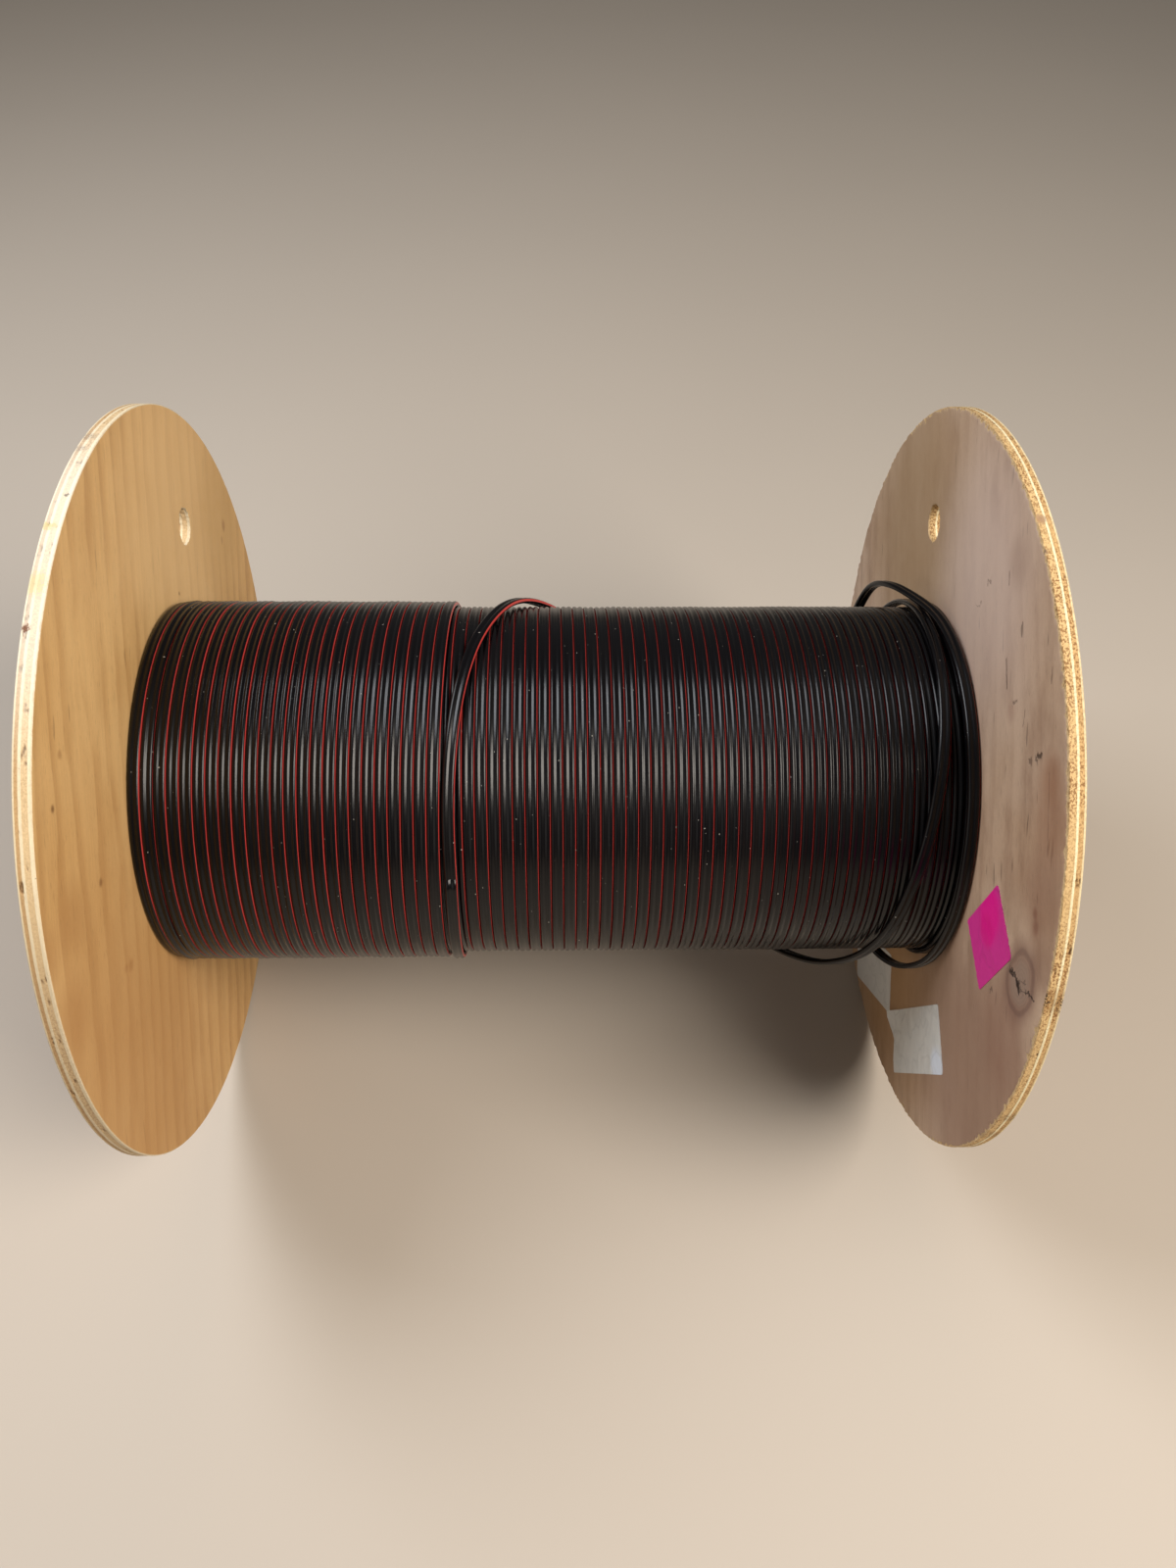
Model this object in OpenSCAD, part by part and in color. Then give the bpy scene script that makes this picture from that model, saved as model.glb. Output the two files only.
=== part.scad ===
// Wooden cable drum lying on the rims of its two plywood flanges.
// The drum's own line runs along X, the winding is between the flanges, and Z points up.
// The origin is on the floor, straight below the middle of the drum.

/* [Flanges] */
// Outside diameter of both flanges
flange_d = 400; // [320:5:600]
// Thickness of the plywood
flange_t = 8; // [6:0.5:16]
// Clear width between the two flanges
inner_w = 410; // [300:1:600]
// Width of the small chamfer on the rim
rim_chamfer = 0.8; // [0.3:0.1:2]
// Diameter of the hole for the arbor
arbor_bore_d = 40; // [30:1:44]
// Diameter of the hole for the cable end or a finger
side_hole_d = 20; // [12:1:30]
// Distance of that hole from the drum's line
side_hole_reach = 140.5; // [125:0.5:150]
// Angle of the hole in the left flange, from the back upwards
left_hole_angle = 41.5; // [0:0.5:90]
// Angle of the hole in the right flange, from the back upwards
right_hole_angle = 51.5; // [0:0.5:90]

/* [Barrel] */
// Outside diameter of the tube that carries the winding
barrel_d = 100; // [96:1:130]
// Wall of the tube
barrel_wall = 4; // [3:0.5:6]
// Depth of the groove that seats the tube in each flange
barrel_seat = 2; // [1:0.5:3]

/* [Tie rods] */
// Number of tie rods
rod_count = 4; // [3:1:6]
// Diameter of a tie rod
rod_d = 8; // [6:1:10]
// Distance of the rods from the drum's line
rod_reach = 33; // [32:0.5:34]
// Outside diameter of the washers
washer_d = 22; // [18:0.5:23]
// Thickness of the washers
washer_t = 1.6; // [1:0.1:3]
// Width of the nuts across their flats
nut_af = 13; // [10:0.5:17]
// Height of the nuts
nut_h = 6.5; // [4:0.5:9]
// Length of rod that stands out of the nut
rod_end = 2.5; // [1:0.5:6]

/* [Cable] */
// Width of the flat twin cable
cable_w = 6.1; // [5.5:0.1:7]
// Thickness of the flat twin cable
cable_t = 3.05; // [2.8:0.05:3.4]
// Outside diameter of the full-width layer
full_layer_d = 191; // [180:1:210]
// Rise of the part-width layer above the full-width layer
layer_rise = 3; // [2.5:0.1:3.3]
// Number of turns in the part-width layer, counted from the left flange
upper_turns = 24; // [6:1:24]
// Distance from turn to turn in the part-width layer
upper_pitch = 6.25; // [6.1:0.01:6.25]
// Number of turns heaped against the right flange
heap_turns = 1; // [1:1:2]

/* [Labels] */
// Thickness of the paper labels
label_t = 0.3; // [0.2:0.1:0.6]
// Length of the pink label
pink_l = 48; // [30:1:60]
// Width of the pink label
pink_w = 36; // [24:1:40]
// Length of the front white label
front_l = 96; // [60:1:96]
// Length of the rear white label
rear_l = 82; // [60:1:84]
// Width of both white labels
white_w = 37; // [24:1:38]
// Radius of the labels' corners
label_r = 2; // [1:0.5:4]

/* [Hidden] */

// Fit between the rods and their holes, between the tube and its groove and around the coil
rod_fit = 0.5;
seat_fit = 0.2;
coil_fit = 0.2;
// Overrun of every cut past the faces it opens
over = 1;
// Places of the labels on the right flange: distance from the drum's line, angle, and turn
pink_reach = 134;
pink_angle = 165;
pink_turn_angle = 103;
front_reach = 151;
front_angle = 224;
front_turn_angle = 117.4;
rear_reach = 158.5;
rear_angle = 260;
rear_turn_angle = -42;
// Chamfer on the corners of a nut, as a share of its height
nut_chamfer_share = 0.12;

axis_z = flange_d / 2;
half_w = inner_w / 2;
barrel_bore_d = barrel_d - 2 * barrel_wall;
coil_bore_d = barrel_d + 2 * coil_fit;
coil_w = inner_w - 2 * coil_fit;
lobe_d = cable_t;
lobe_gap = cable_w - lobe_d;
turns = floor(coil_w / cable_w);
pitch = coil_w / turns;
full_r = full_layer_d / 2;
upper_r = full_r + layer_rise;
upper_w = upper_turns * upper_pitch;
heap_w = heap_turns * pitch;
rod_l = inner_w + 2 * (flange_t + washer_t + nut_h + rod_end);

// Centre line of the loose end of the cable: place along the drum, angle, distance from the drum's line.
// The angle is 0 at the front, 90 on top, 180 behind and 270 below, and it grows with every turn.
LOOSE = [
  [-51.5, 20, 97.9], [-51.5, 45, 97.9], [-48.5, 69, 98], [-42, 90, 98.1], [-32, 109, 98.6],
  [-18, 131, 98.8], [1, 153, 98.6], [22, 177, 99], [42, 201, 99.5], [62, 226, 99.5],
  [82, 251, 99], [101, 276, 98.8], [118, 298, 99], [133, 315, 100.7], [147, 328, 102.6],
  [160, 340, 101.8], [170, 354, 99], [177, 376, 98.1], [183.5, 399, 98.1], [189, 423, 98.1],
  [191.6, 448, 98.1], [192, 474, 98.1], [191.5, 500, 98.4], [189, 527, 98.8], [186, 554, 99],
  [183, 582, 99], [181, 610, 99], [181, 636, 99.8], [184.5, 660, 102.3], [191, 680, 105.2],
  [198, 698, 104.2], [201, 718, 101.4], [201.2, 744, 101], [201.2, 771, 101], [200.6, 798, 101],
  [198, 821, 101.4], [191.5, 838, 103.2], [184.5, 850, 107.2], [180.3, 862, 109], [178.3, 878, 105],
  [177, 900, 100.5], [174.5, 928, 98.4], [171, 956, 98.1]];
// Section of the flat cable, as shares of half its width and of half its thickness
cable_shares = [
  [1, 0.5], [0.75, 1], [-0.75, 1], [-1, 0.5], [-1, -0.5], [-0.75, -1], [0.75, -1], [1, -0.5]];
// Rings of the loose end to each stretch between two of its points
loose_steps = 2;

flange_left();
flange_right();
barrel();
winding();
tie_rods();
washers();
nuts();
loose_end();
label_pink();
label_front();
label_rear();

// Lays what was drawn upright round Z along the drum's line
module along_drum(x) {
  translate([x, 0, axis_z]) rotate([0, 90, 0]) children();
}

// Puts a copy at each tie rod, in the plane of a flange
module at_rods() {
  for (i = [0 : rod_count - 1]) rotate([0, 0, (i + 1 / 2) * 360 / rod_count])
    translate([rod_reach, 0, 0]) children();
}

// Plain disc with chamfered rims, from z = 0 up
module disc() {
  rotate_extrude($fn = 180) polygon([
    [0, 0], [flange_d / 2 - rim_chamfer, 0], [flange_d / 2, rim_chamfer],
    [flange_d / 2, flange_t - rim_chamfer], [flange_d / 2 - rim_chamfer, flange_t], [0, flange_t]]);
}

// One plywood flange with its bore, rod holes, side hole and the groove for the tube.
// Its inner face is at z = 0 and it grows to z = flange_t.
module flange(hole_angle) {
  difference() {
    disc();
    translate([0, 0, -over]) cylinder(d = arbor_bore_d, h = flange_t + 2 * over, $fn = 96);
    translate([0, 0, -over]) at_rods() cylinder(d = rod_d + rod_fit, h = flange_t + 2 * over, $fn = 32);
    rotate([0, 0, hole_angle]) translate([side_hole_reach, 0, -over])
      cylinder(d = side_hole_d, h = flange_t + 2 * over, $fn = 64);
    difference() {
      translate([0, 0, -over]) cylinder(d = barrel_d + 2 * seat_fit, h = barrel_seat + over, $fn = 128);
      translate([0, 0, -2 * over])
        cylinder(d = barrel_bore_d - 2 * seat_fit, h = barrel_seat + 3 * over, $fn = 128);
    }
  }
}

module flange_left() {
  color("burlywood") mirror([1, 0, 0]) along_drum(half_w) flange(90 + left_hole_angle);
}

module flange_right() {
  color("tan") along_drum(half_w) flange(90 + right_hole_angle);
}

// Tube that carries the winding, seated in both flanges
module barrel() {
  barrel_l = inner_w + 2 * barrel_seat;
  color("peru") along_drum(-barrel_l / 2) difference() {
    cylinder(d = barrel_d, h = barrel_l, $fn = 128);
    translate([0, 0, -over]) cylinder(d = barrel_bore_d, h = barrel_l + 2 * over, $fn = 128);
  }
}

// Section of one turn of the flat twin cable: two round lobes side by side, outermost at radius r
module turn_section(r, y) {
  for (s = [-1, 1]) translate([r - lobe_d / 2, y + s * lobe_gap / 2]) circle(d = lobe_d, $fn = 8);
}

// Section of the wound cable under its outermost turns, up to the middle of those turns
module wound_block(y0, y1) {
  full_mid = full_r - lobe_d / 2;
  upper_mid = upper_r - lobe_d / 2;
  polygon([
    [coil_bore_d / 2, y0], [upper_mid, y0], [upper_mid, y0 + upper_w], [full_mid, y0 + upper_w],
    [full_mid, y1 - heap_w], [upper_mid, y1 - heap_w], [upper_mid, y1], [coil_bore_d / 2, y1]]);
}

// The wound cable as one turned solid, with the turns of its outermost layers in the section
module winding() {
  y0 = -coil_w / 2;
  y1 = coil_w / 2;
  first_bare = floor(upper_w / pitch);
  color([0.09, 0.09, 0.1]) along_drum(0) rotate_extrude($fn = 84) {
    wound_block(y0, y1);
    for (i = [first_bare : turns - heap_turns - 1]) turn_section(full_r, y0 + (i + 1 / 2) * pitch);
    for (i = [0 : upper_turns - 1]) turn_section(upper_r, y0 + (i + 1 / 2) * upper_pitch);
    for (i = [0 : heap_turns - 1]) turn_section(upper_r, y1 - (i + 1 / 2) * pitch);
  }
}

// Threaded rods that pull the flanges onto the tube
module tie_rods() {
  color("silver") along_drum(-rod_l / 2) at_rods() cylinder(d = rod_d, h = rod_l, $fn = 32);
}

// Places a fitting on the outer face of both flanges, a distance off the face
module on_both_faces(off) {
  along_drum(half_w + flange_t + off) at_rods() children();
  mirror([1, 0, 0]) along_drum(half_w + flange_t + off) at_rods() children();
}

module washers() {
  color("gainsboro") on_both_faces(0) difference() {
    cylinder(d = washer_d, h = washer_t, $fn = 48);
    translate([0, 0, -over]) cylinder(d = rod_d, h = washer_t + 2 * over, $fn = 32);
  }
}

module nuts() {
  nut_ac = nut_af / cos(30);
  chamfer = nut_chamfer_share * nut_h;
  color("gainsboro") on_both_faces(washer_t) difference() {
    intersection() {
      cylinder(d = nut_ac, h = nut_h, $fn = 6);
      rotate_extrude($fn = 48) polygon([
        [0, 0], [nut_ac / 2, 0], [nut_ac / 2, nut_h - chamfer], [nut_ac / 2 - chamfer, nut_h], [0, nut_h]]);
    }
    translate([0, 0, -over]) cylinder(d = rod_d, h = nut_h + 2 * over, $fn = 32);
  }
}

// Place in space of a route point
function place(p) = [p[0], -p[2] * cos(p[1]), axis_z + p[2] * sin(p[1])];

// Smooth curve through four route points that follow each other, at share t of the middle stretch
function blend(a, b, c, d, t) =
  (2 * b + (c - a) * t + (2 * a - 5 * b + 4 * c - d) * t * t + (3 * b - a - 3 * c + d) * t * t * t) / 2;

// Route with the points of that curve filled in, a number of steps to each stretch
function smooth(route, steps) = [
  for (i = [0 : len(route) - 2], k = [0 : steps - 1])
    blend(route[max(i - 1, 0)], route[i], route[i + 1], route[min(i + 2, len(route) - 1)], k / steps),
  route[len(route) - 1]];

function unit(v) = v / norm(v);

// Points of a ring round the flat cable, wide along the drum and thin away from it
function ring(p, ahead) = let (
    away = [0, -cos(p[1]), sin(p[1])],
    across = unit(cross(ahead, away)),
    off = unit(cross(across, ahead)))
  [for (s = cable_shares) place(p) + s[0] * cable_w / 2 * across + s[1] * cable_t / 2 * off];

// Flat cable swept along a route, with a number of rings to each stretch
module cable(route, steps) {
  line = smooth(route, steps);
  n = len(line);
  m = len(cable_shares);
  rings = [for (i = [0 : n - 1])
    ring(line[i], place(line[min(i + 1, n - 1)]) - place(line[max(i - 1, 0)]))];
  polyhedron(
    points = [for (r = rings) each r],
    faces = concat(
      [[for (k = [m - 1 : -1 : 0]) k]],
      [for (i = [0 : n - 2], k = [0 : m - 1])
        [m * i + k, m * i + (k + 1) % m, m * (i + 1) + (k + 1) % m, m * (i + 1) + k]],
      [[for (k = [0 : m - 1]) m * (n - 1) + k]]),
    convexity = 10);
}

// The cable's own end, which has come off the outermost layer
module loose_end() {
  color([0.14, 0.13, 0.14]) cable(LOOSE, loose_steps);
}

// Paper label on the inner face of the right flange
module label(l, w, reach, angle, turn) {
  translate([half_w - label_t, reach * cos(angle), axis_z + reach * sin(angle)])
    rotate([turn, 0, 0]) rotate([90, 0, 90]) linear_extrude(label_t) {
      square([l - 2 * label_r, w], center = true);
      square([l, w - 2 * label_r], center = true);
      for (sx = [-1, 1], sy = [-1, 1])
        translate([sx * (l / 2 - label_r), sy * (w / 2 - label_r)]) circle(r = label_r, $fn = 24);
    }
}

module label_pink() {
  color("deeppink") label(pink_l, pink_w, pink_reach, pink_angle, pink_turn_angle);
}

module label_front() {
  color("whitesmoke") label(front_l, white_w, front_reach, front_angle, front_turn_angle);
}

module label_rear() {
  color("whitesmoke") label(rear_l, white_w, rear_reach, rear_angle, rear_turn_angle);
}
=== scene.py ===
"""Looks of a wooden cable drum: plywood flanges, wound flat twin cable, paper labels and steel rods."""

import logging
import math
from collections.abc import Callable, Mapping, Sequence
from dataclasses import dataclass, field
from enum import Enum
from typing import Any

import bmesh
import bpy
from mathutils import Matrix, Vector, noise
from mathutils.geometry import delaunay_2d_cdt

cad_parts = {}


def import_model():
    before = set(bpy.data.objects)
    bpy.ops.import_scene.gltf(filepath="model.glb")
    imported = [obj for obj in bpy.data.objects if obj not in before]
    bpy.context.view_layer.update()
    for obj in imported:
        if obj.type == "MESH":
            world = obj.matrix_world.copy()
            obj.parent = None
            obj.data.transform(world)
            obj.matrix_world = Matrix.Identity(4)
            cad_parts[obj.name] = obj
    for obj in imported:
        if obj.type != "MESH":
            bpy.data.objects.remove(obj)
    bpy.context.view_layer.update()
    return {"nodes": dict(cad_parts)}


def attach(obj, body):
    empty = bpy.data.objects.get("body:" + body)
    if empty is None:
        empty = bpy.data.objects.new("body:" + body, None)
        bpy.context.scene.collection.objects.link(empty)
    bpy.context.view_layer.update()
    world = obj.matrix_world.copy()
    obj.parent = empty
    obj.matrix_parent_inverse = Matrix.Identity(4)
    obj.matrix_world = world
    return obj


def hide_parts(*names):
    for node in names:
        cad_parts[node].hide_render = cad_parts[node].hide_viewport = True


LOG = logging.getLogger("cable_drum")
UV_NAME = "UVMap"

# One millimetre in the frame's metres
MM = 0.001
# Height of the drum's line and half the width between the flanges, in metres
AXIS_Z = 0.2
HALF_W = 0.205
# Radius and thickness of a flange, in millimetres
FLANGE_R = 200.0
FLANGE_T = 8.0

Tone = tuple[float, float, float, float]
Point = tuple[float, float, float]
Ring = list[bmesh.types.BMVert]
Profile = list[tuple[float, float]]


def tone(red: int, green: int, blue: int) -> Tone:
    """Turns a screen colour into the linear one that a shader takes.

    Args:
        red: Red, 0 to 255.
        green: Green, 0 to 255.
        blue: Blue, 0 to 255.

    Returns:
        Linear red, green, blue and an alpha of 1.
    """
    shares = [value / 255 for value in (red, green, blue)]
    linear = [c / 12.92 if c <= 0.04045 else ((c + 0.055) / 1.055) ** 2.4 for c in shares]
    return (linear[0], linear[1], linear[2], 1.0)


class Side(Enum):
    """One of the two ends of the drum."""

    LEFT = -1
    RIGHT = 1


@dataclass(frozen=True)
class Signal:
    """One output socket of a node, on which sums are written as on a number."""

    plan: "Plan"
    socket: bpy.types.NodeSocket

    def __add__(self, other: Any) -> "Signal":
        """Sum."""
        return self.plan.math("ADD", self, other)

    __radd__ = __add__

    def __sub__(self, other: Any) -> "Signal":
        """Difference."""
        return self.plan.math("SUBTRACT", self, other)

    def __rsub__(self, other: Any) -> "Signal":
        """Difference with the signal taken away."""
        return self.plan.math("SUBTRACT", other, self)

    def __mul__(self, other: Any) -> "Signal":
        """Product."""
        return self.plan.math("MULTIPLY", self, other)

    __rmul__ = __mul__

    def __truediv__(self, other: Any) -> "Signal":
        """Quotient."""
        return self.plan.math("DIVIDE", self, other)

    def __gt__(self, other: Any) -> "Signal":
        """1 where the signal is greater."""
        return self.plan.math("GREATER_THAN", self, other)


class Plan:
    """A node tree under construction, for a material or for a Geometry Nodes shape."""

    def __init__(self, tree: bpy.types.NodeTree) -> None:
        """Keeps the tree that the nodes go into."""
        self.tree = tree

    def node(
        self,
        kind: str,
        settings: Mapping[str, Any] | None = None,
        inputs: Mapping[str | int, Any] | None = None,
        output: str | int = 0,
    ) -> Signal:
        """Adds a node, sets it, feeds it and gives one of its outputs.

        Args:
            kind: The node's type name.
            settings: Its settings by name.
            inputs: Values or signals by socket identifier, name or number.
            output: The output to give, in the same terms.

        Returns:
            The chosen output as a signal.
        """
        made = self.tree.nodes.new(kind)
        for key, value in (settings or {}).items():
            setattr(made, key, value)
        for key, value in (inputs or {}).items():
            socket = self._find(made.inputs, key)
            if isinstance(value, Signal):
                self.tree.links.new(value.socket, socket)
            else:
                socket.default_value = value
        return Signal(self, self._find(made.outputs, output))

    @staticmethod
    def _find(sockets: Any, key: str | int) -> bpy.types.NodeSocket:
        """Finds one of a node's sockets.

        Args:
            sockets: The node's inputs or outputs.
            key: The socket's number, identifier or name.

        Returns:
            The socket.
        """
        if isinstance(key, int):
            return sockets[key]
        return next((s for s in sockets if s.identifier == key), None) or sockets[key]

    def math(self, operation: str, *values: Any) -> Signal:
        """Adds one Math node."""
        return self.node("ShaderNodeMath", {"operation": operation}, dict(enumerate(values)))

    def clamp(self, value: Signal) -> Signal:
        """Keeps a signal from 0 to 1."""
        return self.node("ShaderNodeMath", {"operation": "ADD", "use_clamp": True}, {0: value, 1: 0.0})

    def far(self, *parts: Signal) -> Signal:
        """Gives the distance that parts at right angles make."""
        return self.math("SQRT", sum((part * part for part in parts[1:]), parts[0] * parts[0]))

    def vector(self, x: Any = 0.0, y: Any = 0.0, z: Any = 0.0) -> Signal:
        """Joins three numbers."""
        return self.node("ShaderNodeCombineXYZ", None, {0: x, 1: y, 2: z})

    def split(self, vector: Signal) -> tuple[Signal, Signal, Signal]:
        """Takes a vector apart."""
        parts = self.node("ShaderNodeSeparateXYZ", None, {0: vector}).socket.node.outputs
        return Signal(self, parts[0]), Signal(self, parts[1]), Signal(self, parts[2])

    def noise(self, x: Any, y: Any, z: Any, detail: float = 2.0, rough: float = 0.5) -> Signal:
        """Gives soft noise from 0 to 1 at a place, one unit a cell."""
        inputs = {"Vector": self.vector(x, y, z), "Scale": 1.0, "Detail": detail, "Roughness": rough}
        return self.node("ShaderNodeTexNoise", None, inputs)

    def step(self, value: Signal, low: float, high: float) -> Signal:
        """Goes smoothly from 0 to 1.

        Args:
            value: The signal that is looked at.
            low: Where the step starts at 0.
            high: Where it has reached 1. It may be the smaller of the two.

        Returns:
            The step.
        """
        ends = (low, high, 0.0, 1.0) if low < high else (high, low, 1.0, 0.0)
        smooth = {"interpolation_type": "SMOOTHSTEP"}
        return self.node("ShaderNodeMapRange", smooth, dict(enumerate((value, *ends))))

    def mix(self, first: Any, second: Any, share: Any, blend: str = "MIX") -> Signal:
        """Mixes two colours."""
        return self.node(
            "ShaderNodeMix",
            {"data_type": "RGBA", "blend_type": blend},
            {"A_Color": first, "B_Color": second, "Factor_Float": share},
            "Result_Color",
        )

    def shade(self, colour: Any, amount: Signal) -> Signal:
        """Multiplies a colour by a grey amount."""
        return self.mix(colour, self.vector(amount, amount, amount), 1.0, "MULTIPLY")


class Shader(Plan):
    """A material under construction, with one principled surface."""

    def __init__(self, name: str) -> None:
        """Starts an empty material.

        Args:
            name: The material's name.
        """
        self.material = bpy.data.materials.new(name)
        self.material.use_nodes = True
        super().__init__(self.material.node_tree)
        self.tree.nodes.clear()

    def place(self) -> tuple[Signal, Signal, Signal]:
        """Gives the place on the object, with the drum's line at height 0."""
        x, y, z = self.split(self.node("ShaderNodeTexCoord", None, None, "Object"))
        return x, y, z - AXIS_Z

    def run(self) -> tuple[Signal, Signal]:
        """Gives the way along a swept piece and the way round its section."""
        u, v, _ = self.split(self.node("ShaderNodeUVMap", {"uv_map": UV_NAME}))
        return u, v

    def attribute(self, name: str) -> Signal:
        """Gives a number that the mesh carries."""
        return self.node("ShaderNodeAttribute", {"attribute_name": name}, None, "Fac")

    def finish(
        self, colour: Any, rough: Any, height: Signal | None = None, depth: float = 0.0, **constants: Any
    ) -> bpy.types.Material:
        """Joins everything on the surface.

        Args:
            colour: The base colour.
            rough: The roughness.
            height: Relief from 0 to 1, or none.
            depth: How deep the relief is, in metres.
            **constants: Values of other inputs, with underscores for spaces.

        Returns:
            The finished material.
        """
        inputs: dict[str | int, Any] = {"Base Color": colour, "Roughness": rough}
        inputs |= {key.replace("_", " "): value for key, value in constants.items()}
        if height is not None:
            bump = {"Height": height, "Distance": depth, "Strength": 1.0}
            inputs["Normal"] = self.node("ShaderNodeBump", None, bump)
        surface = self.node("ShaderNodeBsdfPrincipled", None, inputs)
        output = self.tree.nodes.new("ShaderNodeOutputMaterial")
        self.tree.links.new(surface.socket, output.inputs["Surface"])
        return self.material


class Pattern(Plan):
    """A Geometry Nodes tree with named inputs, which is run once and leaves a plain mesh."""

    def __init__(self, name: str) -> None:
        """Starts an empty tree.

        Args:
            name: The tree's name, and that of the object it makes.
        """
        super().__init__(bpy.data.node_groups.new(name, "GeometryNodeTree"))
        self.values: dict[str, Any] = {}
        self.source = self.tree.nodes.new("NodeGroupInput")
        self.tree.interface.new_socket("Geometry", in_out="OUTPUT", socket_type="NodeSocketGeometry")

    def take(self, name: str, value: Any, kind: str = "Float") -> Signal:
        """Adds a named input.

        Args:
            name: What the input is called.
            value: What it is set to on the modifier.
            kind: Float, Int or Material.

        Returns:
            The input as a signal.
        """
        item = self.tree.interface.new_socket(name, in_out="INPUT", socket_type=f"NodeSocket{kind}")
        self.values[item.identifier] = value
        return Signal(self, self._find(self.source.outputs, item.identifier))

    def join(self, parts: Sequence[Signal]) -> Signal:
        """Joins geometry.

        Args:
            parts: What is joined, in its order.

        Returns:
            The joined geometry.
        """
        joined = self.tree.nodes.new("GeometryNodeJoinGeometry")
        for part in parts:
            self.tree.links.new(part.socket, joined.inputs[0])
        return Signal(self, joined.outputs[0])

    def make(self, geometry: Signal, material: bpy.types.Material) -> bpy.types.Object:
        """Realizes and dresses the geometry, runs the tree and keeps its mesh.

        Args:
            geometry: What the tree has made.
            material: The finish it gets.

        Returns:
            A plain mesh object at the origin, named as the tree.
        """
        finish = self.take("Finish", material, "Material")
        real = self.node("GeometryNodeRealizeInstances", None, {"Geometry": geometry})
        dressed = self.node("GeometryNodeSetMaterial", None, {"Geometry": real, "Material": finish})
        out = self.tree.nodes.new("NodeGroupOutput")
        self.tree.links.new(dressed.socket, out.inputs[0])
        made = add_object(self.tree.name, bpy.data.meshes.new(self.tree.name))
        modifier = made.modifiers.new("pattern", "NODES")
        modifier.node_group = self.tree
        for identifier, value in self.values.items():
            modifier[identifier] = value
        bpy.context.view_layer.update()
        graph = bpy.context.evaluated_depsgraph_get()
        mesh = bpy.data.meshes.new_from_object(
            made.evaluated_get(graph), preserve_all_data_layers=True, depsgraph=graph
        )
        made.modifiers.remove(modifier)
        made.data = mesh
        mesh.name = self.tree.name
        return made


def add_object(name: str, mesh: bpy.types.Mesh) -> bpy.types.Object:
    """Puts a mesh into the scene at the origin.

    Args:
        name: The object's name.
        mesh: Its mesh.

    Returns:
        The object.
    """
    made = bpy.data.objects.new(name, mesh)
    bpy.context.scene.collection.objects.link(made)
    return made


def build(
    name: str,
    fill: Callable[[bmesh.types.BMesh], None],
    materials: Sequence[bpy.types.Material],
    smooth_deg: float = 35.0,
) -> bpy.types.Object:
    """Makes an object from mesh code.

    Args:
        name: The piece's name.
        fill: Writes the mesh.
        materials: Its finishes, in the order of their numbers.
        smooth_deg: Edges sharper than this stay sharp.

    Returns:
        The object, at the origin, with its faces outwards.
    """
    bm = bmesh.new()
    fill(bm)
    bmesh.ops.recalc_face_normals(bm, faces=bm.faces)
    limit = math.radians(smooth_deg)
    for face in bm.faces:
        face.smooth = True
    for edge in bm.edges:
        edge.smooth = len(edge.link_faces) == 2 and edge.calc_face_angle(0.0) < limit
    mesh = bpy.data.meshes.new(name)
    bm.to_mesh(mesh)
    bm.free()
    for material in materials:
        mesh.materials.append(material)
    return add_object(name, mesh)


def declare(piece: bpy.types.Object, slot: str, node: str | None = None) -> None:
    """Puts a piece on the drum's one body and in place of its plain solid.

    Args:
        piece: The piece.
        slot: The material slot it belongs to. Not used.
        node: The plain solid it replaces, or none.
    """
    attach(piece, "root")
    if node:
        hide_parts(node)


def around(radius: float, angle: float, x: float) -> Point:
    """Gives the point at a distance and an angle round the drum's line: 0 in front, 90 degrees on top."""
    return (x, -radius * math.cos(angle), AXIS_Z + radius * math.sin(angle))


def skin(bm: bmesh.types.BMesh, rows: Sequence[Sequence[bmesh.types.BMVert]], closed: bool = True) -> None:
    """Joins rows of points with faces.

    Args:
        bm: The mesh.
        rows: Rows of the same number of points.
        closed: Whether each row comes round to its start.
    """
    for first, second in zip(rows, rows[1:]):
        count = len(first)
        for i in range(count if closed else count - 1):
            j = (i + 1) % count
            bm.faces.new((first[i], first[j], second[j], second[i]))


def turned(bm: bmesh.types.BMesh, profile: Profile, count: int) -> list[Ring]:
    """Turns a profile round the drum's line.

    Args:
        bm: The mesh.
        profile: Place along the drum and distance from its line, in millimetres.
        count: Number of points round.

    Returns:
        One ring of points for each point of the profile.
    """
    angles = [2 * math.pi * i / count for i in range(count)]
    return [[bm.verts.new(around(r * MM, angle, x * MM)) for angle in angles] for x, r in profile]


# Finishes


@dataclass(frozen=True)
class Ply:
    """One veneer of the plywood as its edge shows it: where it ends, its colour and its grain."""

    end: float
    colour: Tone
    across: bool


@dataclass(frozen=True)
class Spot:
    """A soft mark at a place in millimetres from the drum's line; some spots are painted light and shade
    instead.

    On an edge it lies at a depth, squash 0 runs it right across, and grit breaks it into specks.
    """

    y: float
    z: float
    size: float
    colour: Tone
    share: float = 0.75
    depth: float = 0.0
    squash: float = 0.0
    grit: float = 0.0


@dataclass(frozen=True)
class Line:
    """A scratch or a crack from one place to another, in millimetres."""

    start: tuple[float, float]
    end: tuple[float, float]
    width: float
    share: float


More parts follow.
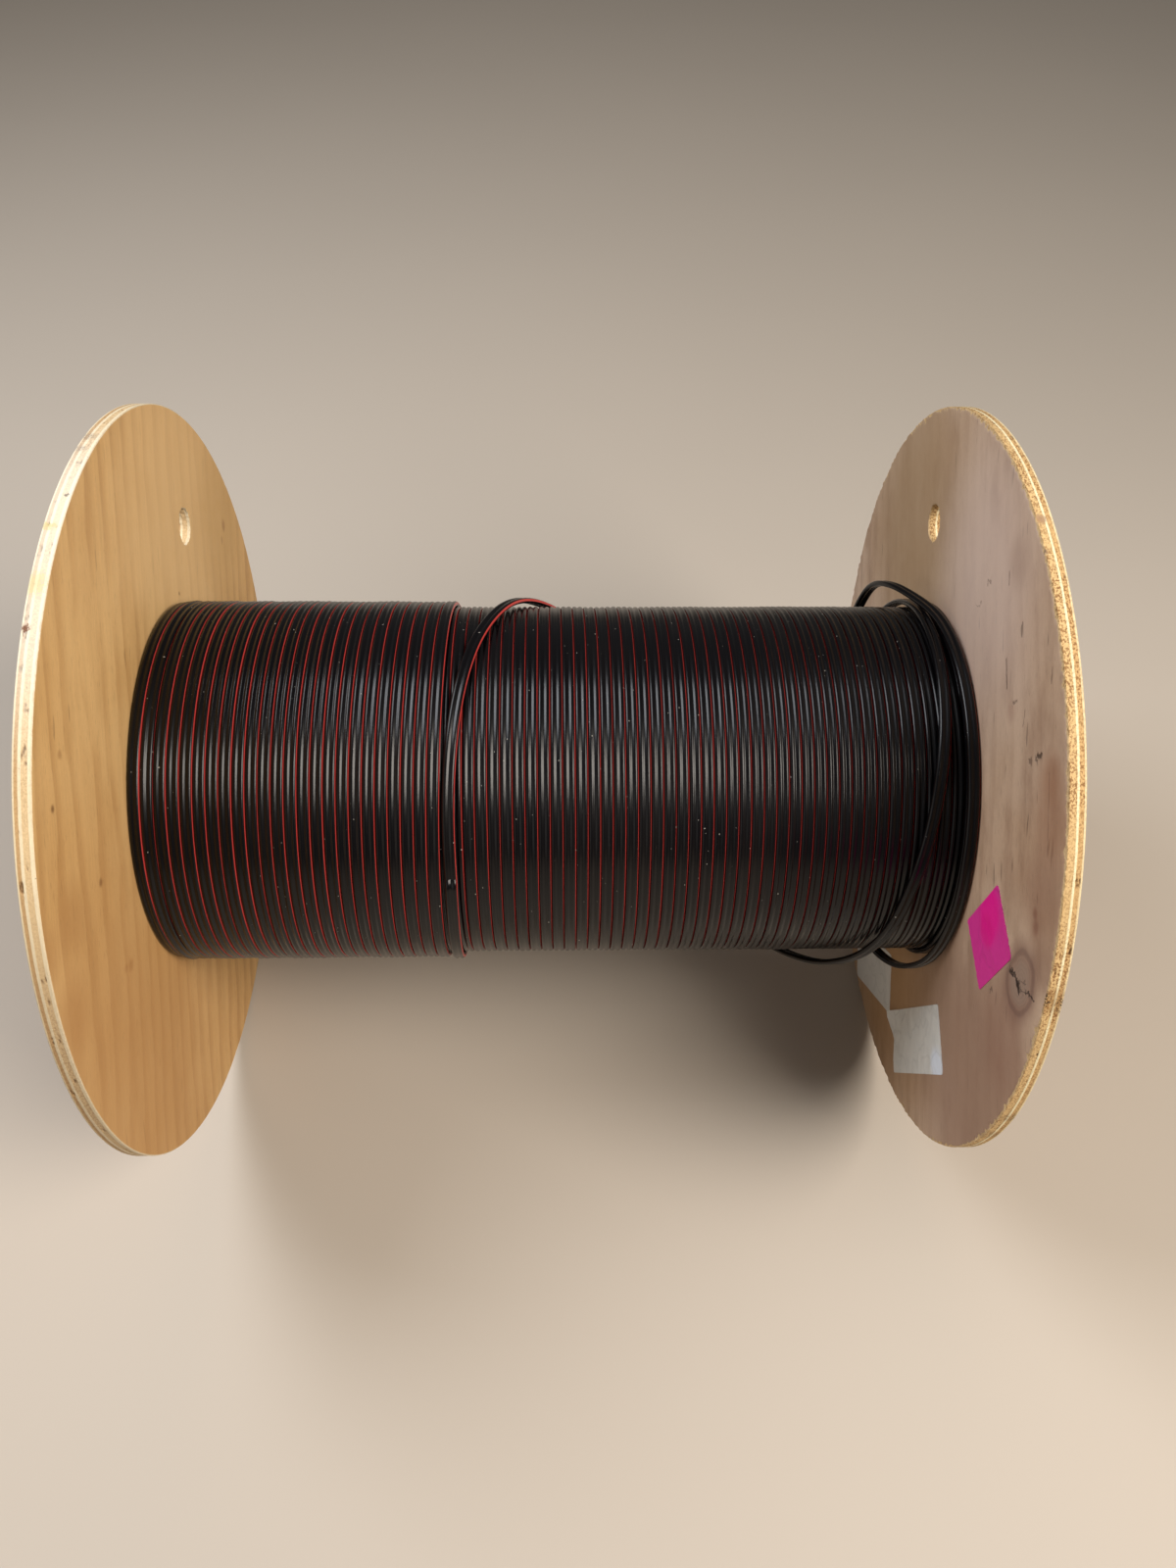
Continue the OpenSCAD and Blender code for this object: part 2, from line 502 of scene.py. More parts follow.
@dataclass(frozen=True)
class PlywoodFinish:
    """Raw plywood: a figured face and an edge that shows the veneers.

    Sweep says how far the growth rings wander. Rings, mottle, streaks, meal, ticks and specks say
    how strongly each kind of figure shows.
    """

    name: str
    light: Tone
    dark: Tone
    second: Tone
    grain_deg: float
    plies: tuple[Ply, ...]
    spots: tuple[Spot, ...]
    edge_spots: tuple[Spot, ...]
    lines: tuple[Line, ...]
    seed: float
    sweep: float
    rings: float
    mottle: float
    streaks: float
    meal: float
    ticks: float
    specks: float
    knot: tuple[float, float] | None = None

    def material(self) -> bpy.types.Material:
        """Builds the material.

        Returns:
            The material. The mesh carries where the edge is cut and where it has voids.
        """
        s = Shader(self.name)
        x, y, z = s.place()
        face, relief = self._face(s, x, y, z)
        edge, crumble = self._edge(s, x, y, z)
        ragged = s.noise(y * 700, z * 700, x * 700, 3.0, 0.65)
        cut = s.step(s.attribute("cut") + (ragged - 0.5) * 0.7, 0.42, 0.58)
        colour = s.mix(face, edge, cut)
        rough = s.noise(y * 120, z * 120, self.seed) * 0.18 + 0.5 + cut * 0.22
        height = relief * (1 - cut) + crumble * cut
        return s.finish(colour, rough, height, 0.3 * MM, Specular_IOR_Level=0.3)

    def _grain(self, y: Signal, z: Signal, shift: Any = 0.0) -> tuple[Signal, Signal]:
        """Turns a place into the directions of the face grain.

        Args:
            y: Place from front to back.
            z: Height above the drum's line.
            shift: How far the figure is moved, so that two faces don't have the same.

        Returns:
            The place along and across the grain.
        """
        turn = math.radians(self.grain_deg)
        u = y * math.cos(turn) + z * math.sin(turn)
        v = z * math.cos(turn) - y * math.sin(turn)
        return u + shift * 0.43, v + shift * 0.29

    def _face(self, s: Shader, x: Signal, y: Signal, z: Signal) -> tuple[Signal, Signal]:
        """Draws the face veneers and gives their colour and relief.

        Args:
            s: The material under construction.
            x: Place along the drum.
            y: Place from front to back.
            z: Height above the drum's line.

        Returns:
            The colour and the relief. The marks and the patches of painted light and shade are on the inner
            face alone.
        """
        outer = s.math("ABSOLUTE", x) > HALF_W + FLANGE_T * MM / 2
        u, v = self._grain(y, z, outer)
        waver = s.noise(u * 16, v * 70, self.seed, 2.0)
        bare, relief = self._figure(s, y, z, (u, v), waver, outer)
        marks_and_painted_light = bare
        # Some spots are patches of painted light and shade rather than marks on the wood.
        for spot in self.spots:
            away = self._distance(s, y, z, spot, waver)
            share = s.step(away, spot.size * 1.5 * MM, spot.size * 0.3 * MM) * spot.share
            marks_and_painted_light = s.mix(marks_and_painted_light, spot.colour, share)
        if self.knot:
            marks_and_painted_light = self._knot(s, y, z, self.knot, marks_and_painted_light)
        if self.lines:
            gash = self._lines(s, y, z) * (1 - outer)
            marks_and_painted_light = s.mix(marks_and_painted_light, tone(34, 22, 17), gash)
            relief = relief - gash * 1.5
        return s.mix(marks_and_painted_light, bare, outer), relief

    def _figure(
        self, s: Shader, y: Signal, z: Signal, grain: tuple[Signal, Signal], waver: Signal, outer: Signal
    ) -> tuple[Signal, Signal]:
        """Draws the wood's own figure: rings, mottle, fibres, pores and short dark strokes.

        Args:
            s: The material under construction.
            y: Place from front to back.
            z: Height above the drum's line.
            grain: Place along and across the grain.
            waver: A slight unevenness of the rings.
            outer: 1 on the outer face, where the mottle is weaker.

        Returns:
            The colour and the relief.
        """
        u, v = grain
        flow = s.noise(u * 2.4 + self.seed, v * 7, self.seed, 1.0) * self.sweep + v * 58 + waver * 0.8
        saw = s.math("FRACT", flow)
        late = s.step(saw, 0.35, 0.88) * s.step(saw, 1.0, 0.92)
        swell = s.noise(y * 11, z * 11, self.seed + 4, 2.0)
        cloud = s.noise(u * 17, v * 36, self.seed + 1, 4.0, 0.6)
        fibre = s.noise(u * 42, v * 850, self.seed, 3.0, 0.6)
        streak = s.noise(u * 9, v * 190, self.seed + 8, 3.0, 0.6)
        mealy = s.noise(y * 520, z * 520, self.seed + 2, 3.0, 0.7)
        pore = s.step(s.noise(u * 150, v * 1400, self.seed + 5, 1.0), 0.64, 0.74)
        tick = s.step(s.noise(u * 46, v * 310, self.seed + 9, 1.0), 0.7, 0.77)
        stroke = s.step(s.noise(u * 26 + v * 20, v * 170, self.seed + 12, 2.0), 0.7, 0.78)
        colour = s.mix(self.light, self.second, s.step(swell, 0.3, 0.7))
        colour = s.mix(colour, self.dark, s.clamp(late * s.step(swell, 0.2, 0.55) * self.rings))
        colour = s.mix(colour, self.dark, s.step(cloud, 0.42, 0.74) * (1 - outer * 0.55) * self.mottle)
        colour = s.shade(colour, (fibre + streak) * self.streaks + (1 - self.streaks))
        colour = s.shade(colour, mealy * self.meal + (1 - self.meal / 2))
        colour = s.shade(colour, 1 - pore * 0.2)
        colour = s.shade(colour, 1 - s.clamp(tick + stroke) * self.ticks)
        return colour, fibre * 0.12 - pore * 0.2 + 0.6 - late * 0.05

    @staticmethod
    def _distance(s: Shader, y: Signal, z: Signal, spot: Spot, stir: Signal) -> Signal:
        """Gives the distance from a spot on the face, stirred a little."""
        return s.far(y - spot.y * MM + (stir - 0.5) * 0.004, z - spot.z * MM)

    @staticmethod
    def _knot(s: Shader, y: Signal, z: Signal, place: tuple[float, float], colour: Signal) -> Signal:
        """Draws the knot: a dark halo, a greyer heart and a ring.

        Args:
            s: The material under construction.
            y: Place from front to back.
            z: Height above the drum's line.
            place: The knot's middle in millimetres.
            colour: What lies under it.

        Returns:
            The colour with the knot.
        """
        wobble = s.noise(y * 48, z * 48, 1.0, 2.0)
        away = s.far((y - place[0] * MM) * 1.3, z - place[1] * MM) + (wobble - 0.5) * 0.009
        rings = s.math("SINE", away * 2300 + wobble * 9)
        colour = s.mix(colour, tone(124, 92, 78), s.step(away, 29 * MM, 15 * MM) * 0.7)
        colour = s.mix(colour, tone(150, 130, 114), s.step(away, 16 * MM, 8 * MM) * 0.55)
        colour = s.shade(colour, 1 - s.step(away, 19 * MM, 15 * MM) * (rings * 0.035 + 0.02))
        rim = s.step(away, 19.5 * MM, 17 * MM) * s.step(away, 13.5 * MM, 16.6 * MM)
        return s.mix(colour, tone(92, 68, 62), rim * 0.35)

    def _lines(self, s: Shader, y: Signal, z: Signal) -> Signal:
        """Draws the scratches and cracks.

        Args:
            s: The material under construction.
            y: Place from front to back.
            z: Height above the drum's line.

        Returns:
            Each line's share in it, and 0 beside the lines.
        """
        jitter = (s.noise(y * 300, z * 300, 7.0, 3.0, 0.7) - 0.5) * 0.007
        breadth = s.noise(y * 260, z * 260, 3.0, 1.0)
        total: Any = 0.0
        for line in self.lines:
            (ay, az), (by, bz) = line.start, line.end
            ly, lz = (by - ay) * MM, (bz - az) * MM
            py, pz = y + jitter - ay * MM, z + jitter - az * MM
            t = s.clamp((py * ly + pz * lz) / (ly * ly + lz * lz))
            gap = s.far(py - t * ly, pz - t * lz) - breadth * (line.width * 2.6 * MM)
            inside = s.step(gap, line.width * 0.7 * MM, -line.width * 0.9 * MM)
            total = s.math("MAXIMUM", inside * line.share, total)
        return total

    def _edge(self, s: Shader, x: Signal, y: Signal, z: Signal) -> tuple[Signal, Signal]:
        """Draws the cut veneers and gives their colour and relief.

        Args:
            s: The material under construction.
            x: Place along the drum.
            y: Place from front to back.
            z: Height above the drum's line.

        Returns:
            The colour and the relief.
        """
        u, v = self._grain(y, z)
        deep = (s.math("ABSOLUTE", x) - HALF_W) / MM
        sway = s.noise(y * 45, z * 45, self.seed, 2.0) - 0.5
        depth = deep / FLANGE_T + sway * 0.05
        starts = [0.0] + [ply.end / FLANGE_T for ply in self.plies[:-1]]
        base = self._bands(s, depth, [(start, ply.colour) for start, ply in zip(starts, self.plies)])
        turns = [(float(ply.across),) * 3 + (1.0,) for ply in self.plies]
        across = self._bands(s, depth, list(zip(starts, turns)))
        long_grain = s.noise(u * 70, v * 1300, x * 1300, 3.0, 0.65)
        end_grain = s.noise(u * 1300, v * 70, x * 1300, 3.0, 0.65)
        grain = s.node("ShaderNodeSeparateColor", None, {0: s.mix(long_grain, end_grain, across)})
        speck = s.noise(y * 900, z * 900, x * 1100, 3.0, 0.7)
        patch = s.step(s.noise(y * 16, z * 16, self.seed + 3, 2.0), 0.3, 0.62)
        spotted = s.step(speck, 0.48, 0.56) * (across * 0.65 + 0.35) * (patch * 0.65 + 0.35)
        colour = s.mix(base, tone(120, 80, 42), s.clamp(spotted * self.specks))
        colour = s.shade(colour, grain * 0.36 + 0.82)
        fade = s.noise(y * 13, z * 13, self.seed + 6, 2.0)
        colour = s.shade(colour, fade * 0.3 + 0.85)
        void = s.attribute("void")
        grime = s.step(s.noise(y * 420, z * 420, x * 700, 3.0, 0.7), 0.66, 0.76) * 0.6
        colour = s.mix(colour, tone(92, 62, 36), s.clamp(void * 0.8 + grime))
        grit = s.step(s.noise(y * 1100, z * 1100, x * 1500, 2.0), 0.49, 0.55)
        # Some edge spots are painted light and shade: a highlight on the top of the rim and shade low down.
        for spot in self.edge_spots:
            across_veneers = (deep - spot.depth) * (spot.squash * MM)
            away = s.far(y - spot.y * MM, z - spot.z * MM, across_veneers)
            stir = min(spot.size, 6.0) * 3.4 * MM
            shape = s.step(away + (speck - 0.5) * stir, spot.size * 1.3 * MM, spot.size * 0.5 * MM)
            if spot.grit:
                shape = shape * (grit * spot.grit + (1 - spot.grit))
            colour = s.mix(colour, spot.colour, shape * spot.share)
        return colour, grain * 0.5 + speck * 0.6 - void * 0.5

    @staticmethod
    def _bands(s: Shader, value: Signal, stops: Sequence[tuple[float, Tone]]) -> Signal:
        """Reads a value off bands with short soft joints.

        Args:
            s: The material under construction.
            value: Where along the bands.
            stops: Where each band starts, and its colour.

        Returns:
            The band's colour.
        """
        half_joint = 0.012
        colour: Any = stops[0][1]
        for start, following in stops[1:]:
            colour = s.mix(colour, following, s.step(value, start - half_joint, start + half_joint))
        return colour


@dataclass(frozen=True)
class SheathFinish:
    """Semi-gloss black sheath with a coloured stripe on one edge of the pair."""

    name: str = "sheath"
    black: Tone = tone(6, 5, 7)
    worn: Tone = tone(26, 22, 19)
    dust: Tone = tone(190, 184, 174)
    stripe: Tone = tone(178, 58, 54)
    stripe_from: float = 0.205
    stripe_to: float = 0.284

    def material(self) -> bpy.types.Material:
        """Builds the material.

        Returns:
            The material. The mesh carries the way along and round the cable.
        """
        s = Shader(self.name)
        x, y, z = s.place()
        run, section = s.run()
        way = section + (s.noise(run * 2.3, 0.0, 4.0, 2.0) - 0.5) * 0.04
        left = s.step(way, self.stripe_from - 0.008, self.stripe_from + 0.008)
        right = s.step(way, self.stripe_to + 0.006, self.stripe_to - 0.006)
        film = s.noise(x * 30, y * 14, z * 14, 3.0, 0.6)
        colour = s.mix(self.black, self.worn, s.step(film, 0.45, 0.85) * 0.4)
        colour = s.mix(colour, self.stripe, left * right * 0.96)
        speck = s.step(s.noise(x * 760, y * 760, z * 760, 0.0), 0.872, 0.89)
        scuff = s.step(s.noise(run * 160, section * 60, 2.0, 2.0), 0.74, 0.8)
        colour = s.mix(colour, self.dust, s.clamp(speck * 0.6 + scuff * 0.1))
        rough = film * 0.1 + speck * 0.3 + 0.2
        ripple = s.noise(run * 60, section * 4, 8.0, 2.0)
        return s.finish(colour, rough, ripple, 0.04 * MM, Specular_IOR_Level=0.26)


@dataclass(frozen=True)
class PaperFinish:
    """Self-adhesive paper with creases and, on the coated kind, a gloss; stains and a painted sheen lie on
    it, and painted shade in its creases.
    """

    name: str
    colour: Tone
    shaded: Tone
    coat: float
    stains_and_painted_sheen: tuple[Spot, ...]
    seed: float

    def material(self) -> bpy.types.Material:
        """Builds the material.

        Returns:
            The material.
        """
        s = Shader(self.name)
        _, y, z = s.place()
        cloud = s.noise(y * 60, z * 60, self.seed, 3.0, 0.6)
        fibre = s.noise(y * 2600, z * 2600, self.seed, 2.0)
        crease = s.math("ABSOLUTE", s.noise(y * 34, z * 34, self.seed + 3, 2.0) - 0.5)
        fold = s.step(crease, 0.025, 0.0)
        grime = s.step(s.noise(y * 260, z * 260, self.seed + 6, 3.0), 0.66, 0.8)
        colour = s.mix(self.colour, self.shaded, s.step(cloud, 0.35, 0.75) * 0.5)
        colour = s.shade(colour, 0.96 + fibre * 0.08)
        # These spots are stains, and on the white paper a painted sheen: a patch of reflected light.
        for spot in self.stains_and_painted_sheen:
            away = s.far(y - spot.y * MM, z - spot.z * MM) + (cloud - 0.5) * 0.006
            inside = s.step(away, spot.size * 1.2 * MM, spot.size * 0.6 * MM)
            colour = s.mix(colour, spot.colour, inside * spot.share)
        # The creases are darkened as painted shade; the grime is dirt.
        colour = s.shade(colour, 1 - fold * 0.08 - grime * 0.12)
        height = fold * 0.5 + fibre * 0.06 + cloud * 0.5
        gloss = {"Coat_Weight": self.coat, "Coat_Roughness": 0.25}
        return s.finish(colour, 0.5 + cloud * 0.2, height, 0.25 * MM, **gloss)


@dataclass(frozen=True)
class MetalFinish:
    """Plated or bare metal with spangle and tarnish."""

    name: str
    colour: Tone
    tarnish: Tone
    rough: float

    def material(self) -> bpy.types.Material:
        """Builds the material.

        Returns:
            The material.
        """
        s = Shader(self.name)
        x, y, z = s.place()
        spangle = s.noise(x * 900, y * 900, z * 900, 3.0, 0.6)
        stain = s.step(s.noise(x * 90, y * 90, z * 90, 4.0, 0.6), 0.5, 0.75)
        colour = s.shade(s.mix(self.colour, self.tarnish, stain * 0.7), 0.86 + spangle * 0.24)
        return s.finish(colour, stain * 0.15 + spangle * 0.1 + self.rough, spangle, 0.012 * MM, Metallic=1.0)


@dataclass(frozen=True)
class BoardFinish:
    """Brown board wound in a spiral, with the seams of its strips."""

    name: str = "wound_board"
    colour: Tone = tone(176, 134, 92)
    strip: float = 0.11

    def material(self) -> bpy.types.Material:
        """Builds the material.

        Returns:
            The material.
        """
        s = Shader(self.name)
        x, y, z = s.place()
        angle = s.math("ARCTAN2", z, y) / (2 * math.pi)
        lap = s.math("FRACT", x / self.strip + angle)
        seam = s.step(s.math("ABSOLUTE", lap - 0.5), 0.012, 0.004)
        fibre = s.noise(x * 260, y * 900, z * 900, 3.0, 0.6)
        colour = s.shade(self.colour, 0.84 + fibre * 0.3)
        colour = s.shade(colour, 1 - seam * 0.45)
        return s.finish(colour, 0.8 + fibre * 0.1, fibre * 0.4 - seam, 0.4 * MM)


LEFT_PLY = PlywoodFinish(
    "ply_left",
    light=tone(216, 176, 120),
    dark=tone(158, 110, 60),
    second=tone(204, 161, 104),
    grain_deg=50,
    plies=(
        Ply(1.6, tone(220, 204, 172), False),
        Ply(4.2, tone(206, 178, 136), True),
        Ply(5.5, tone(218, 202, 170), False),
        Ply(7.0, tone(182, 148, 104), True),
        Ply(8.0, tone(214, 196, 162), False),
    ),
    spots=(
        Spot(-124.6, 130, 1.7, tone(110, 74, 42)),
        Spot(-118.3, 68.3, 2.0, tone(112, 74, 42)),
        Spot(-126.7, 11.3, 3.2, tone(150, 100, 54), 0.6),
        Spot(-131, 16, 2.2, tone(150, 100, 54), 0.5),
        Spot(-178, 96, 14, tone(176, 130, 80), 0.5),
        Spot(-148, 84, 15, tone(172, 126, 76), 0.5),
        Spot(-181, 56, 18, tone(176, 128, 76), 0.55),
        # Painted shade: the front and lower part of the face made darker.
        Spot(-162, -45, 130, tone(178, 131, 80), 0.6),
        # Painted light: the rear upper part of the face made lighter.
        Spot(110, 110, 90, tone(226, 188, 134), 0.6),
        Spot(168, 50, 48, tone(186, 146, 90), 0.55),
        Spot(-104, 139, 2.0, tone(150, 108, 64), 0.5),
        Spot(69.2, 75.8, 1.1, tone(110, 76, 44)),
        Spot(168, 44.6, 3.6, tone(150, 106, 62), 0.6),
        Spot(158, 41, 2.4, tone(150, 106, 62), 0.4),
        Spot(120, -30, 5.0, tone(170, 124, 78), 0.4),
    ),
    edge_spots=(
        # Painted highlight: the top of the left rim made almost white.
        Spot(-40, 196, 80, tone(244, 240, 230), 0.35),
        # Painted shade: the left rim made darker low down.
        Spot(-199, 20, 95, tone(110, 84, 56), 0.3),
        Spot(-76.5, 184.8, 1.7, tone(116, 72, 48), 0.9, 6.0, 1.0),
        Spot(-57.5, 191.6, 5.5, tone(196, 182, 104), 0.4, 6.0, 1.0),
        Spot(-28.5, 198, 2.2, tone(186, 172, 92), 0.5, 6.5, 0.5),
        Spot(-9.8, 199.8, 1.0, tone(92, 84, 76), 0.8, 2.2, 1.0),
        Spot(25.8, 198.3, 2.6, tone(140, 128, 116), 0.7, 6.2, 0.8, 0.6),
        Spot(38, 196.4, 3.6, tone(130, 116, 102), 0.7, 6.4, 0.8, 0.6),
    ),
    lines=(),
    seed=2.0,
    sweep=3.2,
    rings=0.36,
    mottle=0.2,
    streaks=0.2,
    meal=0.12,
    ticks=0.24,
    specks=0.4,
)
RIGHT_PLY = PlywoodFinish(
    "ply_right",
    light=tone(192, 166, 143),
    dark=tone(122, 88, 66),
    second=tone(177, 147, 120),
    grain_deg=45,
    plies=(
        Ply(0.7, tone(198, 170, 128), False),
        Ply(3.9, tone(201, 169, 119), True),
        Ply(4.9, tone(223, 211, 173), False),
        Ply(7.0, tone(191, 156, 106), True),
        Ply(8.0, tone(215, 196, 155), False),
    ),
    spots=(
        # Painted shade: a darker, warmer tone low on the face below the winding.
        Spot(-20, -115, 100, tone(168, 131, 88), 0.85),
        Spot(120, 90, 80, tone(154, 124, 88), 0.75),
        Spot(0, 142, 62, tone(204, 182, 170), 0.6),
        Spot(-165, -40, 75, tone(140, 110, 92), 0.75),
        Spot(-174, 20, 30, tone(132, 94, 76), 0.5),
        Spot(-152, 100, 22, tone(138, 102, 80), 0.6),
        Spot(-134, 130, 20, tone(146, 106, 80), 0.6),
        Spot(-118, 140, 11, tone(142, 98, 70), 0.5),
        Spot(-176, 82, 12, tone(128, 94, 74), 0.5),
        Spot(-157, 86, 3.5, tone(118, 74, 58), 0.5),
        Spot(-152, 89, 2.5, tone(118, 74, 58), 0.5),
        Spot(-23.6, 175, 12, tone(146, 118, 102), 0.4),
        Spot(-68, 125, 5, tone(150, 112, 96), 0.3),
    ),
    edge_spots=(
        Spot(-150, -132, 34, tone(150, 130, 102), 0.5),
        Spot(-186, 73.6, 6.0, tone(150, 112, 66), 0.45),
        Spot(-185.6, 74.5, 4.6, tone(52, 33, 19), 0.9, 0.3, 1.7, 1.0),
        Spot(-186.4, 72.5, 5.2, tone(48, 30, 17), 0.9, 7.4, 1.7, 1.0),
        Spot(-199.7, -9, 4.5, tone(110, 84, 58), 0.6, 5.5, 1.0, 0.7),
        Spot(-197, -35, 6.0, tone(120, 94, 66), 0.5, 4.0, 1.0, 0.7),
        Spot(-23.7, 198.6, 2.6, tone(150, 118, 92), 0.8, 2.6, 1.0),
        Spot(-41.6, 195.6, 1.4, tone(120, 98, 82), 0.8, 0.6, 1.0),
    ),
    lines=(
        Line((-179.6, 63.6), (-173.6, 60.3), 0.5, 0.8),
        Line((-173.6, 60.3), (-171.9, 56.6), 0.4, 0.75),
        Line((-171.9, 56.6), (-166.6, 52.2), 0.3, 0.5),
        Line((-167.4, 51.4), (-165.2, 52.6), 1.3, 0.95),
        Line((-165.2, 52.4), (-160.7, 52.2), 0.6, 0.9),
        Line((-160.7, 52.2), (-154.3, 48.6), 0.7, 0.9),
        Line((-169.3, 60.7), (-164.3, 55.0), 0.35, 0.45),
        Line((-150.0, 22.5), (-149.3, 20.3), 0.6, 0.5),
        Line((-104.8, 137.3), (-103.0, 134.4), 1.1, 0.75),
        Line((-103.0, 134.4), (-101.0, 133.2), 0.5, 0.6),
        Line((-99.8, 127.6), (-98.4, 126.6), 0.9, 0.5),
        Line((-50.3, 156.4), (-47.8, 158.9), 1.0, 0.5),
        Line((-56.0, 128.2), (-45.4, 136.1), 0.4, 0.6),
        Line((-69.0, 133.2), (-66.2, 129.3), 0.4, 0.5),
        Line((-78.5, 137.0), (-82.2, 130.5), 0.35, 0.4),
        Line((-88.5, 166.0), (-85.0, 170.5), 0.4, 0.45),
        Line((-22.0, 161.0), (-18.5, 164.5), 0.45, 0.4),
        Line((-3.5, 146.5), (-0.5, 143.2), 0.35, 0.45),
        Line((-1.5, 131.0), (2.5, 125.5), 0.3, 0.35),
        Line((-140.7, 115.7), (-115.7, 140.0), 0.3, 0.25),
    ),
    seed=7.0,
    sweep=7.0,
    rings=0.14,
    mottle=0.5,
    streaks=0.09,
    meal=0.18,
    ticks=0.5,
    specks=1.0,
    knot=(-165.5, 55),
)


# Pieces


@dataclass(frozen=True)
class Camera:
    """The camera at the photograph's place and angle."""

    place: Point = (0.0019, -0.4397, 0.7194)
    turn_deg: Point = (40.008, -0.8944, -1.0199)
    lens: float = 27.869
    sensor: float = 36.0
    near: float = 0.01

    def make(self) -> None:
        """Adds the camera and makes it the scene's own."""
        data = bpy.data.cameras.new("camera")
        data.lens = self.lens
        data.sensor_width = self.sensor
        data.clip_start = self.near
        made = bpy.data.objects.new("camera", data)
        made.location = self.place
        made.rotation_euler = [math.radians(a) for a in self.turn_deg]
        bpy.context.scene.collection.objects.link(made)
        bpy.context.scene.camera = made


@dataclass(frozen=True)
class Lamp:
    """A square soft lamp that looks at the drum, with its side in metres and its power in watts."""

    name: str
    place: Point
    side: float
    power: float
    colour: Point

    def make(self) -> None:
        """Adds the lamp."""
        data = bpy.data.lights.new(self.name, "AREA")
        data.size = self.side
        data.energy = self.power
        data.color = self.colour
        made = bpy.data.objects.new(self.name, data)
        made.location = self.place
        towards = Vector((0.0, 0.0, AXIS_Z)) - Vector(self.place)
        made.rotation_euler = towards.to_track_quat("-Z", "Y").to_euler()
        bpy.context.scene.collection.objects.link(made)


@dataclass(frozen=True)
class Studio:
    """A pale floor with soft lamps and an even sky."""

    floor_half: float = 40.0
    floor_tone: Tone = tone(182, 171, 158)
    sky_colour: Tone = (1.0, 0.97, 0.93, 1.0)
    sky_strength: float = 0.13
    lamps: tuple[Lamp, ...] = (
        Lamp("lamp_right", (1.0, -0.86, 1.53), 0.95, 44.0, (1.0, 0.93, 0.84)),
        Lamp("lamp_left", (-0.95, 0.25, 1.5), 0.85, 23.0, (0.92, 0.95, 1.0)),
        Lamp("lamp_front", (-1.5, -1.3, 0.8), 1.5, 5.0, (1.0, 0.96, 0.9)),
    )

    def make(self) -> None:
        """Adds the floor, the lamps and the sky."""
        scene = bpy.context.scene
        scene.view_settings.view_transform = "Standard"
        world = bpy.data.worlds.new("sky")
        world.use_nodes = True
        scene.world = world
        sky = world.node_tree.nodes["Background"]
        sky.inputs["Color"].default_value = self.sky_colour
        sky.inputs["Strength"].default_value = self.sky_strength
        for lamp in self.lamps:
            lamp.make()
        build("floor", self._square, [self._material()])

    def _square(self, bm: bmesh.types.BMesh) -> None:
        """Writes the floor's one square."""
        corners = ((-1, -1), (1, -1), (1, 1), (-1, 1))
        bm.faces.new([bm.verts.new((a * self.floor_half, b * self.floor_half, 0.0)) for a, b in corners])

    def _material(self) -> bpy.types.Material:
        """Builds the floor's material.

        Returns:
            The material.
        """
        s = Shader("pale_floor")
        x, y, _ = s.place()
        cloud = s.noise(x * 2, y * 2, 0.0, 2.0)
        return s.finish(s.shade(self.floor_tone, 0.97 + cloud * 0.06), 0.7)


@dataclass(frozen=True)
class Cable:
    """Section of the flat twin cable: two round lobes that touch, each open towards the other.

    Sizes are in metres. Plain is a place round the section that the stripe doesn't reach.
    """

    diameter: float = 0.0061
    lobe_r: float = 1.525 * MM
    lobe_points: int = 10
    lobe_open_deg: float = 145.0
    plain: float = 0.8

    def section(self) -> Profile:
        """Lays out the section.

        Returns:
            Its points, from below the middle round the right lobe first.
        """
        points = []
        for lobe_deg, side in ((0.0, 1.0), (180.0, -1.0)):
            for k in range(self.lobe_points):
                swept_deg = 2 * self.lobe_open_deg * k / (self.lobe_points - 1)
                angle = math.radians(lobe_deg - self.lobe_open_deg + swept_deg)
                middle = side * self.lobe_r
                points.append((middle + self.lobe_r * math.cos(angle), self.lobe_r * math.sin(angle)))
        return points


